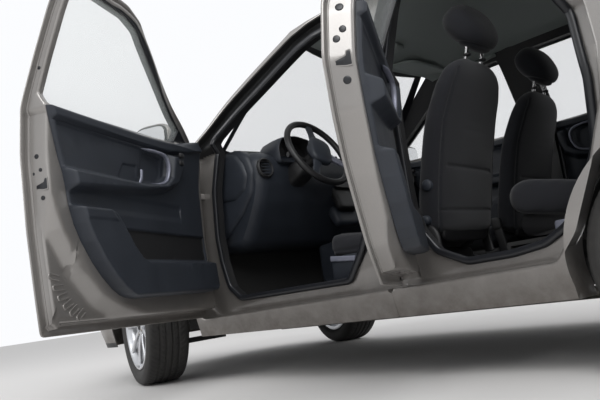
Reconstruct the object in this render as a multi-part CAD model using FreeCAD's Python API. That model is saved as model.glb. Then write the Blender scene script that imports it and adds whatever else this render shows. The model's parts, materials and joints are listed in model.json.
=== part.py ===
import FreeCAD, Part
import math
import os

# A five-door hatchback car, built panel by panel.  Lengths are in millimetres.
# X points forward, Y to the car's left, Z up; the origin is on the floor,
# on the centreline, halfway between the axles.
# The left doors stand open and the front wheels are turned to the right.

V = FreeCAD.Vector

# driving sizes
WHEELBASE = 2451.0
FRONT_AXLE = WHEELBASE / 2
REAR_AXLE = -WHEELBASE / 2
DRAWN_WHEELBASE = 2451.0
DRAWN_AXLE = DRAWN_WHEELBASE / 2
TRACK_HALF = 716.0
TYRE_RADIUS = 295.0
TYRE_WIDTH = 205.0
AXLE_HEIGHT = TYRE_RADIUS
ARCH_RADIUS = 352.0
RIM_FLANGE_RADIUS = 216.5
RIM_SEAT_RADIUS = 206.0
SHUT_GAP = 6.0
BONNET_GAP = 10.0
SKIN = 4.0
SEAT_GAP = 0.3
PANEL_FACE = 1880.0
BUMPER_TOP = 700.0
ROOF_HALF_AT_SEAT = 547.0
TYRE_BEAD_HALF = 84.0
SILL_BOTTOM = 205.0
WING_CLEARANCE_X = 775.0
WING_SEAT_DEPTH = 60.0
FLOOR_BOTTOM = 208.0
GLASS = 4.0
GLASS_DEPTH = 25.0
STEER_REST = -19.0
KINGPIN_OFFSET = 66.0
KINGPIN_Y = TRACK_HALF - KINGPIN_OFFSET
DISC_INNER = 30.0
BALL_JOINT_DROP = 100.0
TAILPIPE_BORE = 18.0
TOW_EYE_RADIUS = 11.0
TOW_EYE_THICK = 14.0
TOW_EYE_HALF = 24.0
CROSS_MEMBER_FRONT = 1400.0
TOW_EYE_PLACE = (CROSS_MEMBER_FRONT + 24.0, 220.0, 239.0)
LEFT_FRONT_OPEN = -64.7
LEFT_REAR_OPEN = -60.8

# hinge axes
FRONT_HINGE = (730.0, 788.0)
REAR_HINGE = (-335.0, 788.0)
HINGE_RADIUS = 7.0
HINGE_HEIGHTS = (430.0, 830.0)
HINGE_SEGMENT = 14.0
HINGE_PLAY = 0.5
HINGE_SETBACK = 18.0

# the body's half width: one row per station along X, one column per height
HEIGHTS = [205.0, 300.0, 420.0, 620.0, 850.0, 1005.0, 1150.0, 1300.0, 1440.0]
HALF_WIDTHS = [
    (-1860.0, [600.0, 640.0, 690.0, 705.0, 692.0, 668.0, 625.0, 580.0, 530.0]),
    (-1600.0, [700.0, 745.0, 775.0, 787.0, 784.0, 758.0, 700.0, 640.0, 575.0]),
    (-1225.0, [760.0, 786.0, 803.0, 815.0, 816.0, 797.0, 736.0, 669.0, 590.0]),
    (-600.0, [772.0, 797.0, 806.0, 818.0, 821.0, 806.0, 744.0, 674.0, 593.0]),
    (0.0, [772.0, 798.0, 807.0, 819.0, 821.0, 806.0, 744.0, 674.0, 593.0]),
    (500.0, [772.0, 797.0, 806.0, 818.0, 819.0, 802.0, 735.0, 660.0, 585.0]),
    (790.0, [770.0, 794.0, 804.0, 815.0, 808.0, 778.0, 680.0, 620.0, 560.0]),
    (1225.0, [760.0, 786.0, 802.0, 814.0, 786.0, 700.0, 640.0, 580.0, 520.0]),
    (1600.0, [700.0, 740.0, 770.0, 778.0, 738.0, 620.0, 560.0, 500.0, 440.0]),
    (1850.0, [610.0, 655.0, 690.0, 696.0, 640.0, 560.0, 500.0, 440.0, 400.0]),
    (2010.0, [470.0, 520.0, 560.0, 560.0, 500.0, 440.0, 400.0, 360.0, 330.0]),
]
SIDE_STATIONS = [row[0] for row in HALF_WIDTHS]

# depths below the skin: (height, value) pairs
DOOR_DEPTH = [(0.0, 74.0), (1006.0, 74.0), (1046.0, 36.0), (2000.0, 36.0)]
SEAL_DEPTH = [(0.0, 91.5), (1006.0, 91.5), (1046.0, 41.5), (2000.0, 41.5)]
RECESS_DEPTH = [(0.0, 104.0), (1006.0, 104.0), (1046.0, 50.0), (2000.0, 50.0)]
BODY_DEPTH = [(0.0, 140.0), (1006.0, 140.0), (1046.0, 94.0), (2000.0, 94.0)]
FLANGE_DEPTH = [(0.0, 7.0), (2000.0, 7.0)]
TRIM_THICK = 12.0

# outlines seen from the side: (x, z) corners
FRONT_DOOR_OUTLINE = [
    (-285, 306), (735, 287), (768, 322), (778, 600), (778, 900), (762, 1000),
    (700, 1066), (150, 1396), (60, 1421), (-60, 1428), (-285, 1428)]
REAR_DOOR_OUTLINE = [
    (-292, 306), (-842, 318), (-905, 392), (-985, 560), (-1045, 720),
    (-1062, 850), (-1052, 980), (-1012, 1100), (-905, 1300), (-815, 1395),
    (-720, 1428), (-292, 1428)]
FRONT_APERTURE = [
    (-50, 352), (520, 352), (590, 440), (612, 600), (604, 900), (585, 1060),
    (120, 1342), (40, 1366), (-215, 1370), (-225, 1000), (-212, 600), (-125, 450)]
REAR_APERTURE = [
    (-455, 352), (-755, 352), (-860, 382), (-935, 495), (-987, 615),
    (-1003, 800), (-990, 990), (-950, 1100), (-855, 1275), (-780, 1345),
    (-700, 1368), (-370, 1370), (-374, 1000), (-372, 600), (-400, 420)]
FRONT_WINDOW = [
    (-240, 1012), (545, 1036), (560, 1092), (122, 1352), (40, 1372), (-240, 1378)]
REAR_WINDOW = [
    (-335, 1012), (-985, 1014), (-955, 1100), (-855, 1285), (-775, 1362),
    (-700, 1378), (-335, 1378)]
FRONT_TRIM = [
    (-258, 1003), (-182, 800), (-175, 700), (-130, 580), (-50, 470), (30, 408),
    (100, 392), (650, 392), (705, 420), (705, 900), (690, 1003)]
REAR_TRIM = [
    (-358, 1003), (-358, 440), (-392, 396), (-760, 396), (-850, 450), (-925, 570),
    (-980, 720), (-995, 850), (-985, 1003)]


def between(pairs, at):
    """Value of a table of (place, value) pairs at one place."""
    if at <= pairs[0][0]:
        return pairs[0][1]
    for (a, va), (b, vb) in zip(pairs, pairs[1:]):
        if at <= b:
            return va + (vb - va) * (at - a) / (b - a)
    return pairs[-1][1]


def skin_y(x, z):
    """Half width of the body skin at a station and a height."""
    rows = [(station, between(list(zip(HEIGHTS, widths)), z))
            for station, widths in HALF_WIDTHS]
    return between(rows, x)


def along(x):
    """A station drawn on the standard wheelbase, stretched between the axles and shifted beyond them."""
    if abs(x) <= DRAWN_AXLE:
        return x * WHEELBASE / DRAWN_WHEELBASE
    return x + math.copysign((WHEELBASE - DRAWN_WHEELBASE) / 2, x)


def block(x0, x1, y0, y1, z0, z1):
    """Block in a wheel's or steering wheel's own place."""
    return Part.makeBox(x1 - x0, y1 - y0, z1 - z0, V(x0, y0, z0))


def rod(start, end, radius):
    """Cylinder in a wheel's or steering wheel's own place."""
    start = V(*start)
    run = V(*end) - start
    return Part.makeCylinder(radius, run.Length, start, run)


def box(x0, x1, y0, y1, z0, z1):
    """Block at stations of the body."""
    return block(along(x0), along(x1), y0, y1, z0, z1)


def cylinder(start, end, radius):
    """Cylinder at stations of the body."""
    return rod((along(start[0]), start[1], start[2]), (along(end[0]), end[1], end[2]), radius)


def rounded_wire(points, radius):
    """Closed wire through 3D corner points, each corner rounded by an arc."""
    count = len(points)
    ends = []
    for i in range(count):
        corner = points[i]
        before = points[i - 1] - corner
        after = points[(i + 1) % count] - corner
        half_angle = before.getAngle(after) / 2
        back = radius / math.tan(half_angle)
        back = min(back, 0.45 * before.Length, 0.45 * after.Length)
        used = back * math.tan(half_angle)
        start = corner + before.normalize() * back
        end = corner + after.normalize() * back
        inward = (before + after)
        if inward.Length < 1e-3:
            ends.append((corner, corner, corner))
            continue
        inward.normalize()
        centre = corner + inward * (used / math.sin(half_angle))
        middle = centre - inward * used
        ends.append((start, middle, end))
    edges = []
    for i in range(count):
        start, middle, end = ends[i]
        if (start - end).Length > 1e-3:
            edges.append(Part.Arc(start, middle, end).toShape())
        following = ends[(i + 1) % count][0]
        if (following - end).Length > 1e-3:
            edges.append(Part.makeLine(end, following))
    return Part.Wire(edges)


def side_prism(outline, y0, y1, radius=0.0):
    """Outline of (x, z) corners pulled along Y."""
    points = [V(along(x), y0, z) for x, z in outline]
    if radius:
        wire = rounded_wire(points, radius)
    else:
        wire = Part.makePolygon(points + points[:1])
    return Part.Face(wire).extrude(V(0, y1 - y0, 0))


def front_prism(outline, x0, x1, radius=0.0):
    """Outline of (y, z) corners pulled along X."""
    points = [V(along(x0), y, z) for y, z in outline]
    if radius:
        wire = rounded_wire(points, radius)
    else:
        wire = Part.makePolygon(points + points[:1])
    return Part.Face(wire).extrude(V(along(x1) - along(x0), 0, 0))


def top_prism(outline, z0, z1, radius=0.0):
    """Outline of (x, y) corners pulled along Z."""
    points = [V(along(x), y, z0) for x, y in outline]
    if radius:
        wire = rounded_wire(points, radius)
    else:
        wire = Part.makePolygon(points + points[:1])
    return Part.Face(wire).extrude(V(0, 0, z1 - z0))


def loft(sections):
    """Straight-line loft through closed rings of corner points."""
    rings = [[V(along(x), y, z) for x, y, z in ring] for ring in sections]
    wires = [Part.makePolygon(ring + ring[:1]) for ring in rings]
    return Part.makeLoft(wires, True, True)


def side_slab(outer, inner, x0, x1, z0, z1):
    """Slab under the body skin between two depth tables, from x0 to x1 and z0 to z1."""
    xs = [x0] + [x for x in SIDE_STATIONS if x0 < x < x1] + [x1]
    breaks = {z for z, depth in outer + inner} | set(HEIGHTS)
    zs = [z0] + sorted(z for z in breaks if z0 < z < z1) + [z1]
    sections = []
    for x in xs:
        ring = [(x, skin_y(x, z) - between(outer, z), z) for z in zs]
        ring += [(x, skin_y(x, z) - between(inner, z), z) for z in reversed(zs)]
        sections.append(ring)
    return loft(sections)


def flat(depth):
    return [(0.0, depth), (2000.0, depth)]


def mirrored(shape):
    return shape.mirror(V(0, 0, 0), V(0, 1, 0))


def both_sides(shape):
    return Part.makeCompound([shape, mirrored(shape)])


def turned(shape, centre, angle, axis=(0, 0, 1)):
    shape = shape.copy()
    shape.rotate(V(*centre), V(*axis), angle)
    return shape


def fused(shapes):
    first = shapes[0]
    if len(shapes) > 1:
        first = first.fuse(shapes[1:])
    return first.removeSplitter()


def grown(outline, by):
    """Outline moved outward by a distance, corner by corner."""
    count = len(outline)
    area = sum(outline[i][0] * outline[(i + 1) % count][1]
               - outline[(i + 1) % count][0] * outline[i][1] for i in range(count))
    side = 1.0 if area > 0 else -1.0
    result = []
    for i in range(count):
        ax, az = outline[i - 1]
        bx, bz = outline[i]
        cx, cz = outline[(i + 1) % count]
        d1 = math.hypot(bx - ax, bz - az)
        d2 = math.hypot(cx - bx, cz - bz)
        n1 = (side * (bz - az) / d1, -side * (bx - ax) / d1)
        n2 = (side * (cz - bz) / d2, -side * (cx - bx) / d2)
        scale = by / (1 + n1[0] * n2[0] + n1[1] * n2[1])
        result.append((bx + (n1[0] + n2[0]) * scale, bz + (n1[1] + n2[1]) * scale))
    return result


# doors

DOOR_SKIN_MARGIN = 28.0


def hinge_barrels(hinge, door_side):
    """Barrels on a hinge axis: the door's outer pair with its leaf, or the pillar's middle one."""
    x, y = hinge
    pieces = []
    for z in HINGE_HEIGHTS:
        if door_side:
            for z0 in (z - 2 * HINGE_SEGMENT, z + HINGE_SEGMENT):
                z0 += HINGE_PLAY if z0 > z else -HINGE_PLAY
                pieces.append(cylinder((x, y, z0), (x, y, z0 + HINGE_SEGMENT), HINGE_RADIUS))
                pieces.append(box(x - HINGE_SETBACK - 4, x, y - 5, y + 5, z0, z0 + HINGE_SEGMENT))
        else:
            pieces.append(cylinder((x, y, z - HINGE_SEGMENT), (x, y, z + HINGE_SEGMENT), HINGE_RADIUS))
            pillar_y = skin_y(x, z) - between(RECESS_DEPTH, z) - 4
            pieces.append(box(x - 6, x + 6, pillar_y, y, z - HINGE_SEGMENT, z + HINGE_SEGMENT))
    return pieces


def door_shell(outline, window, hinge, pocket):
    """Outer skin with its flange, a deep inner box, and a window frame above."""
    x0 = min(x for x, z in outline) - 1
    x1 = max(x for x, z in outline) + 1
    skin = side_slab(flat(0.0), FLANGE_DEPTH, x0, x1, 260, 1440)
    skin = skin.common(side_prism(outline, 400, 900, 22))
    inner_outline = grown(outline, -DOOR_SKIN_MARGIN)
    inner = side_slab(flat(FLANGE_DEPTH[0][1] - 1), DOOR_DEPTH, x0, x1, 260, 1440)
    inner = inner.common(side_prism(inner_outline, 400, 900, 30))
    inner = inner.cut(box(hinge[0] - HINGE_SETBACK, hinge[0] + 80, 400, 900, 200, 1000))
    hollow = side_slab(flat(16.0), flat(66.0), x0, x1, 260, 1004)
    hollow = hollow.common(side_prism(pocket, 400, 900, 30))
    slot = side_slab(flat(GLASS_DEPTH - SEAT_GAP), flat(GLASS_DEPTH + GLASS + SEAT_GAP),
                     x0, x1, 960, 1440)
    slot = slot.common(side_prism(grown(window, 12), 400, 900, 20))
    shell = skin.fuse([inner] + hinge_barrels(hinge, True)).cut(hollow).cut(slot)
    return shell.cut(side_prism(window, 400, 900, 18))


def door_glass(window):
    x0 = min(x for x, z in window) - 30
    x1 = max(x for x, z in window) + 30
    pane = side_slab(flat(GLASS_DEPTH), flat(GLASS_DEPTH + GLASS), x0, x1, 960, 1440)
    return pane.common(side_prism(grown(window, 9), 400, 900, 20))


def door_trim(outline):
    x0 = min(x for x, z in outline) - 5
    x1 = max(x for x, z in outline) + 5
    inner_face = DOOR_DEPTH[0][1] + SEAT_GAP
    return side_slab(flat(inner_face), flat(inner_face + TRIM_THICK), x0, x1, 380, 1004).common(
        side_prism(outline, 400, 900, 25))


front_pocket = [(-225, 960), (-225, 350), (670, 335), (690, 380), (690, 900), (670, 960)]
rear_pocket = [(-380, 960), (-380, 350), (-790, 355), (-850, 430), (-930, 600),
               (-1000, 800), (-1000, 960)]

front_door = door_shell(FRONT_DOOR_OUTLINE, FRONT_WINDOW, FRONT_HINGE, front_pocket)
rear_door = door_shell(REAR_DOOR_OUTLINE, REAR_WINDOW, REAR_HINGE, rear_pocket)
front_glass = door_glass(FRONT_WINDOW)
rear_glass = door_glass(REAR_WINDOW)

# body sides: sill, pillars, cant rail and rear quarter in one pressing

BODY_OUTLINE = [
    (784, SILL_BOTTOM), (860, 300), (860, 1000), (784, 1040), (560, 1178), (160, 1432), (60, 1440),
    (-1423, 1437), (-1535, 1300), (-1705, 1080), (-1775, 1000), (-1784, 900), (-1800, 598),
    (-1672, 598), (-1585, 410), (-1575, 300), (-1500, SILL_BOTTOM)]
ROOF_SEAT_Y = ROOF_HALF_AT_SEAT + SEAT_GAP
ROOF_SEAT_Z = 1394.0


def body_side():
    slab = side_slab(flat(0.0), BODY_DEPTH, -1805, 860, SILL_BOTTOM - 15, 1440)
    body = slab.common(side_prism(BODY_OUTLINE, 300, 900))
    # clearance for the wing over the front of the hinge pillar
    body = body.cut(side_slab(flat(-5.0), flat(WING_SEAT_DEPTH), WING_CLEARANCE_X, 870, SILL_BOTTOM, 1445)
                    .common(box(WING_CLEARANCE_X, 870, 300, 900, SILL_BOTTOM, 1445)))
    arch = cylinder((-DRAWN_AXLE, 300, AXLE_HEIGHT), (-DRAWN_AXLE, 900, AXLE_HEIGHT), ARCH_RADIUS)
    body = body.cut(arch)
    recess_front = side_slab(flat(-5.0), RECESS_DEPTH, -300, 800, 250, 1445)
    recess_rear = side_slab(flat(-5.0), RECESS_DEPTH, -1080, -280, 250, 1445)
    body = body.cut(recess_front.common(
        side_prism(grown(FRONT_DOOR_OUTLINE, SHUT_GAP), 300, 900, 25)))
    body = body.cut(recess_rear.common(
        side_prism(grown(REAR_DOOR_OUTLINE, SHUT_GAP), 300, 900, 25)))
    body = body.cut(side_prism(FRONT_APERTURE, 300, 900, 30))
    body = body.cut(side_prism(REAR_APERTURE, 300, 900, 30))
    body = body.cut(box(-1900, 400, 300, ROOF_SEAT_Y, ROOF_SEAT_Z, 1500))
    body = body.fuse(hinge_barrels(FRONT_HINGE, False) + hinge_barrels(REAR_HINGE, False))
    return body.cut(tail_slab(-400, TAILGATE_THICK + 1.5 * SHUT_GAP, 590, 1445, -1.5 * SHUT_GAP))


def aperture_seal(outline, x0, x1):
    """Thick rubber seal round one door opening, standing off the flange."""
    ring = side_prism(grown(outline, 14), 300, 900, 34).cut(
        side_prism(grown(outline, -8), 300, 900, 26))
    base = [(z, depth - SEAT_GAP) for z, depth in RECESS_DEPTH]
    return side_slab(SEAL_DEPTH, base, x0, x1, 330, 1400).common(ring)


seals = [aperture_seal(FRONT_APERTURE, -260, 640), aperture_seal(REAR_APERTURE, -1020, -340)]

# roof, between the body sides

ROOF_STATIONS = [
    # x, half width, height at the centre, height at the edge
    (230.0, 540.0, 1462.0, 1436.0),
    (0.0, 545.0, 1482.0, 1446.0),
    (-350.0, 547.0, 1498.0, 1450.0),
    (-900.0, 545.0, 1484.0, 1446.0),
    (-1380.0, 530.0, 1446.0, 1424.0),
]
ROOF_THICK = 26.0


def roof():
    sections = []
    for x, half, centre, edge in ROOF_STATIONS:
        rise = centre - edge
        top = [(x, s * half, edge + rise * (1 - s * s)) for s in (-1, -0.66, -0.33, 0, 0.33, 0.66, 1)]
        under = [(px, py, pz - ROOF_THICK) for px, py, pz in reversed(top)]
        sections.append(top + under)
    return loft(sections)


roof_front = [(252 - 90 * s * s, s * 560) for s in (-1, -0.66, -0.33, 0, 0.33, 0.66, 1)]
roof_panel = roof().cut(top_prism([(400, -560)] + roof_front + [(400, 560)], 1300, 1600))

# front wings

WING_OUTLINE = [
    (784, 300), (1300, 300), (1440, 572), (1590, 574), (1690, 654), (1745, 704), (1700, 799),
    (1600, 826), (1225, 897), (880, 966), (784, 985)]


def wing():
    shell = side_slab(flat(0.0), flat(SKIN), 784, 1850, 290, 1000)
    # the flange that bolts to the hinge pillar, clear of the door's swing
    flange = side_slab(flat(SKIN - 1), flat(WING_SEAT_DEPTH - SEAT_GAP), 792, 796, 290, 1000)
    shell = shell.fuse(flange).common(side_prism(WING_OUTLINE, 300, 900))
    arch = cylinder((DRAWN_AXLE, 300, AXLE_HEIGHT), (DRAWN_AXLE, 900, AXLE_HEIGHT), ARCH_RADIUS)
    return shell.cut(arch)


front_wing = wing()

# bonnet

BONNET_STATIONS = [
    # x, height at the centre, height at the edge
    (880.0, 1000.0, 962.0),
    (1225.0, 962.0, 893.0),
    (1600.0, 880.0, 822.0),
    (1820.0, 800.0, 770.0),
    (1930.0, 762.0, 752.0),
]


def cross_loft(stations, thick):
    sections = []
    for x, half, centre, edge in stations:
        rise = centre - edge
        top = [(x, s * half, edge + rise * (1 - s * s)) for s in (-1, -0.75, -0.4, 0, 0.4, 0.75, 1)]
        under = [(px, py, pz - thick) for px, py, pz in reversed(top)]
        sections.append(top + under)
    return loft(sections)


bonnet = cross_loft([(x, skin_y(x, edge) - SKIN - BONNET_GAP, centre, edge)
                     for x, centre, edge in BONNET_STATIONS], 22.0)

# windscreen and tailgate


def pane(corners, thick):
    """Curved pane from rows of points; each row runs across the car."""
    sections = []
    for row in corners:
        under = [(x - thick, y, z) for x, y, z in reversed(row)]
        sections.append(list(row) + under)
    return loft(sections)


WINDSCREEN_ROWS = [
    # height, half width, x at the centre, x at the edge
    (1010.0, 630.0, 850.0, 700.0),
    (1240.0, 597.3, 560.0, 430.0),
    (1440.0, 490.0, 275.0, 195.0),
]
screen_rows = []
for z, half, x_mid, x_edge in WINDSCREEN_ROWS:
    screen_rows.append([(x_mid + (x_edge - x_mid) * s * s, s * half, z)
                        for s in (-1, -0.7, -0.35, 0, 0.35, 0.7, 1)])
windscreen = pane(screen_rows, 10.0)

TAILGATE_STATIONS = [
    # height, half width, x of the outer face
    (1436.0, 500.0, -1450.0),
    (1300.0, 545.0, -1560.0),
    (1080.0, 600.0, -1730.0),
    (1000.0, 610.0, -1800.0),
    (800.0, 590.0, -1850.0),
    (600.0, 560.0, -1868.0),
]
TAILGATE_THICK = 40.0
TAILGATE_BOW = 25.0


def tail_slab(d0, d1, z0, z1, shrink=0.0):
    table_x = sorted((z, x) for z, half, x in TAILGATE_STATIONS)
    table_h = sorted((z, half) for z, half, x in TAILGATE_STATIONS)
    zs = [z0] + sorted(z for z, half, x in TAILGATE_STATIONS if z0 < z < z1) + [z1]
    sections = []
    for z in zs:
        x = between(table_x, z)
        half = between(table_h, z) - shrink
        outer = [(x + TAILGATE_BOW * s * s + d0, s * half, z) for s in (-1, -0.6, 0, 0.6, 1)]
        inner = [(px + d1 - d0, py, pz) for px, py, pz in reversed(outer)]
        sections.append(outer + inner)
    return loft(sections)


tailgate = tail_slab(0, 6, 600, 1436).fuse(tail_slab(5, TAILGATE_THICK, 606, 1430, 24))
tailgate = tailgate.cut(tail_slab(-5, 14 + SEAT_GAP, 1000, 1436).common(
    front_prism([(-470, 1362), (-540, 1075), (540, 1075), (470, 1362)], -2000, -1300, 30)))
tailgate = tailgate.cut(
    front_prism([(-438, 1332), (-500, 1105), (500, 1105), (438, 1332)], -2000, -1300, 30))
tailgate = tailgate.cut(tail_slab(8, 32, 640, 1010, 40))
tailgate_glass = tail_slab(10, 14, 1040, 1400, 0).common(
    front_prism([(-455, 1350), (-523, 1087), (523, 1087), (455, 1350)], -2000, -1300, 25))

left_side = body_side()

# bumpers


def bumper(levels, sign, wall):
    """Bumper skin: one plan outline per level, hollow behind."""
    sections = []
    for z, tip, corner_x, corner_y, end_x, end_y in levels:
        outer = [(end_x, -end_y, z), (corner_x, -corner_y, z), (tip, -0.4 * corner_y, z),
                 (tip, 0.4 * corner_y, z), (corner_x, corner_y, z), (end_x, end_y, z)]
        inner = [(px - sign * wall, py * (1 - wall / 900.0), z) for px, py, pz in reversed(outer)]
        inner[0] = (end_x, end_y - wall, z)
        inner[-1] = (end_x, -end_y + wall, z)
        sections.append(outer + inner)
    return loft(sections)


FRONT_BUMPER_LEVELS = [
    # z, tip x, corner x, corner y, end x, end y
    (190.0, 2000.0, 1880.0, 560.0, 1600.0, 735.0),
    (420.0, 2068.0, 1930.0, 600.0, 1600.0, 768.0),
    (566.0, 2060.0, 1925.0, 600.0, 1600.0, 775.0),
    (640.0, 2030.0, 1915.0, 590.0, 1700.0, 738.0),
    (700.0, 1985.0, 1900.0, 560.0, 1800.0, 690.0),
]
REAR_BUMPER_LEVELS = [
    (230.0, -1850.0, -1780.0, 600.0, -1570.0, 710.0),
    (400.0, -1918.0, -1850.0, 640.0, -1590.0, 770.0),
    (590.0, -1915.0, -1848.0, 640.0, -1680.0, 762.0),
]
front_bumper = bumper(FRONT_BUMPER_LEVELS, 1, 8.0)
rear_bumper = bumper(REAR_BUMPER_LEVELS, -1, 8.0)
front_bumper = front_bumper.cut(
    front_prism([(-420, 250), (420, 250), (460, 380), (-460, 380)], 1900, 2100, 20))

# grilles and scuttle

lower_grille = [box(1975, 1990, -400, 400, z, z + 10) for z in (262, 292, 322, 352)]
lower_grille += [box(PANEL_FACE + SEAT_GAP, 1976, side * 300 - 8, side * 300 + 8, 322, 332) for side in (-1, 1)]
lower_grille += [box(1990, 1996, y - 4, y + 4, 258, 370) for y in (-300, -150, 0, 150, 300)]
upper_grille = [box(1935, 1950, -300, 300, z, z + 8) for z in (622, 646, 670)]
upper_grille += [box(PANEL_FACE + SEAT_GAP, 1926, side * 110 - 10, side * 110 + 10, 670, 678) for side in (-1, 1)]
upper_grille += [box(1925, 1935, -300, 300, 612, 690)]
scuttle = cross_loft([(800.0, 600.0, 985.0, 950.0), (872.0, 600.0, 985.0, 945.0)], 14.0)
grilles = Part.makeCompound([fused(lower_grille), fused(upper_grille), scuttle])

# lamps


def lamp(x0, x1, z0, z1, outline, depth):
    block = side_slab(flat(1.0), flat(depth), x0, x1, z0, z1)
    return block.common(side_prism(outline, 100, 900, 20))


head_lamp = lamp(1700, 1960, 700, 800,
                 [(1708, 797), (1754, BUMPER_TOP + SEAT_GAP), (1940, BUMPER_TOP + SEAT_GAP),
                  (1930, 736), (1820, 758)], 90)
tail_lamp = lamp(-1855, -1640, 640, 1000,
                 [(-1797.6, 650), (-1850, 650), (-1856, 900), (-1800, 980), (-1784.4, 900)], 60)
lamp_clearance = lamp(1695, 1970, 690, 830,
                      [(1700, 815), (1700, 700), (1965, 700), (1965, 742), (1820, 768)], 100)
bonnet = bonnet.cut([lamp_clearance, mirrored(lamp_clearance)])
lamps = Part.makeCompound([head_lamp, mirrored(head_lamp), tail_lamp, mirrored(tail_lamp)])

# underbody: floor, tunnel, bulkhead, wheel housings, boot floor

FLOOR_HALF = skin_y(BODY_OUTLINE[0][0], FLOOR_BOTTOM) - BODY_DEPTH[0][1] - SEAT_GAP


def wheelhouse(x, inner_y, outer_y):
    big = cylinder((x, inner_y, AXLE_HEIGHT), (x, outer_y, AXLE_HEIGHT), ARCH_RADIUS + 14)
    small = cylinder((x, inner_y + 8, AXLE_HEIGHT), (x, outer_y + 5, AXLE_HEIGHT), ARCH_RADIUS + 8)
    cover = big.cut(small)
    return cover.common(box(x - 500, x + 500, inner_y - 1, outer_y + 1, AXLE_HEIGHT + 90, 900))


floor = box(-640, 800, -FLOOR_HALF, FLOOR_HALF, FLOOR_BOTTOM, FLOOR_BOTTOM + 12)
tunnel = front_prism([(-130, 205), (-110, 360), (110, 360), (130, 205), (118, 205), (100, 350),
                      (-100, 350), (-118, 205)], -560, 800)
seat_step = box(-650, -640, -FLOOR_HALF, FLOOR_HALF, 205, 380)
rear_floor = box(-1830, -640, -560, 560, 380, 392)
rear_sides = [box(-880, -640, side * 560 - 68 * (side < 0), side * 560 + 68 * (side > 0), 380, 392)
              for side in (-1, 1)]
bulkhead = box(800, 812, -FLOOR_HALF, FLOOR_HALF, 205, 930.6)
rails = [box(812, 1900, side * 425 - 30, side * 425 + 30, 480, 590) for side in (-1, 1)]
houses = []
for x in (DRAWN_AXLE, -DRAWN_AXLE):
    house = wheelhouse(x, 455 if x > 0 else 560, 735 if x > 0 else 624)
    houses += [house, mirrored(house)]
legs = [box(x, x + 50, side * 390 - 35, side * 390 + 35, 280 + SEAT_GAP, 485)
        for side in (-1, 1) for x in (1025, 1345)]
hangers = [box(-820, -760, side * 515 - 30, side * 515 + 30, 310 + SEAT_GAP, 382) for side in (-1, 1)]
horns = [box(1880, 2053, side * 200 - 20, side * 200 + 20, 500, 540) for side in (-1, 1)]
horns += [box(1864, 1880, -345, 345, 495, 545)]
horns += [box(-1909, -1842, side * 170 - 20, side * 170 + 20, 400, 440) for side in (-1, 1)]
back_panel = box(-1842, -1830, -560, 560, 380, 600)
front_panel = box(1860, 1880, -455, 455, 310, 720).cut(box(1850, 1890, -340, 340, 380, 660))
bonnet_stops = [cylinder((1870, side * 400, 715), (1870, side * 400, 765), 12)
                .cut(bonnet.translated(V(0, 0, -SEAT_GAP))) for side in (-1, 1)]
underbody = fused([floor.cut(box(-560, 800, -118, 118, 200, 230)), tunnel, seat_step, rear_floor,
                   bulkhead, back_panel, front_panel] + rear_sides + rails + houses
                  + legs + hangers + horns + bonnet_stops)

# running gear

ENGINE = box(1060, 1500, -330, 300, 280 + SEAT_GAP, 800)
subframe = fused([
    box(1010, 1090, -380, 380, 225, 280), box(CROSS_MEMBER_FRONT - 70, CROSS_MEMBER_FRONT, -380, 380, 225, 280),
    box(1010, 1400, -380, -300, 225, 280), box(1010, 1400, 300, 380, 225, 280)]
    + [box(1195, 1255, side * 340 - 40, side * 340 + 40, 165, 226) for side in (-1, 1)]
    + [box(1205, 1245, min(side * 310, side * KINGPIN_Y), max(side * 310, side * KINGPIN_Y), 165, 190)
       for side in (-1, 1)]
    + [cylinder((DRAWN_AXLE, side * KINGPIN_Y, 165),
                (DRAWN_AXLE, side * KINGPIN_Y, AXLE_HEIGHT - BALL_JOINT_DROP - SEAT_GAP), 22)
       for side in (-1, 1)])
eye_x, eye_y, eye_z = TOW_EYE_PLACE
eye_low, eye_high = eye_z - TOW_EYE_THICK / 2, eye_z + TOW_EYE_THICK / 2
tow_plate = box(CROSS_MEMBER_FRONT - 10, eye_x, eye_y - TOW_EYE_HALF, eye_y + TOW_EYE_HALF, eye_low, eye_high)
tow_plate = tow_plate.fuse(cylinder((eye_x, eye_y, eye_low), (eye_x, eye_y, eye_high), TOW_EYE_HALF))
subframe = subframe.fuse(tow_plate).cut(cylinder((eye_x, eye_y, eye_low - TOW_EYE_THICK),
                                                 (eye_x, eye_y, eye_high + TOW_EYE_THICK),
                                                 TOW_EYE_RADIUS))
STUB_END = TRACK_HALF - DISC_INNER - SEAT_GAP
rear_beam = fused([
    box(-1120, -1050, -520, 520, 240, 310),
    box(-1260, -760, -540, -490, 250, 310), box(-1260, -760, 490, 540, 250, 310),
    cylinder((-DRAWN_AXLE, -STUB_END, AXLE_HEIGHT), (-DRAWN_AXLE, -500, AXLE_HEIGHT), 32),
    cylinder((-DRAWN_AXLE, 500, AXLE_HEIGHT), (-DRAWN_AXLE, STUB_END, AXLE_HEIGHT), 32)])
PIPE_RADIUS = 24.0
TAILPIPE_RADIUS = 21.0
SILENCER_RADIUS = 85.0


def pipe_run(points, radius):
    """Round pipe through corner points, a ball at each bend."""
    pieces = [cylinder(a, b, radius) for a, b in zip(points, points[1:])]
    pieces += [Part.makeSphere(radius + 1.0, V(along(x), y, z)) for x, y, z in points[1:-1]]
    return fused(pieces)


EXHAUST_Z = 205.0 - PIPE_RADIUS - SEAT_GAP
front_pipe = pipe_run([(1000, 60, EXHAUST_Z), (-1150, 60, EXHAUST_Z), (-1290, 60, 285),
                       (-1330, 60, 285)],
                      PIPE_RADIUS)
silencer = cylinder((-1400, -300, 285), (-1400, 200, 285), SILENCER_RADIUS)
tail_pipe = pipe_run([(-1440, -260, 270), (-1660, -420, 200), (-1880, -420, 200)], TAILPIPE_RADIUS)
exhaust = front_pipe.fuse([silencer, tail_pipe])
exhaust = exhaust.cut(cylinder((-1730, -420, 200), (-1880, -420, 200), TAILPIPE_BORE))

# wheels

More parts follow.
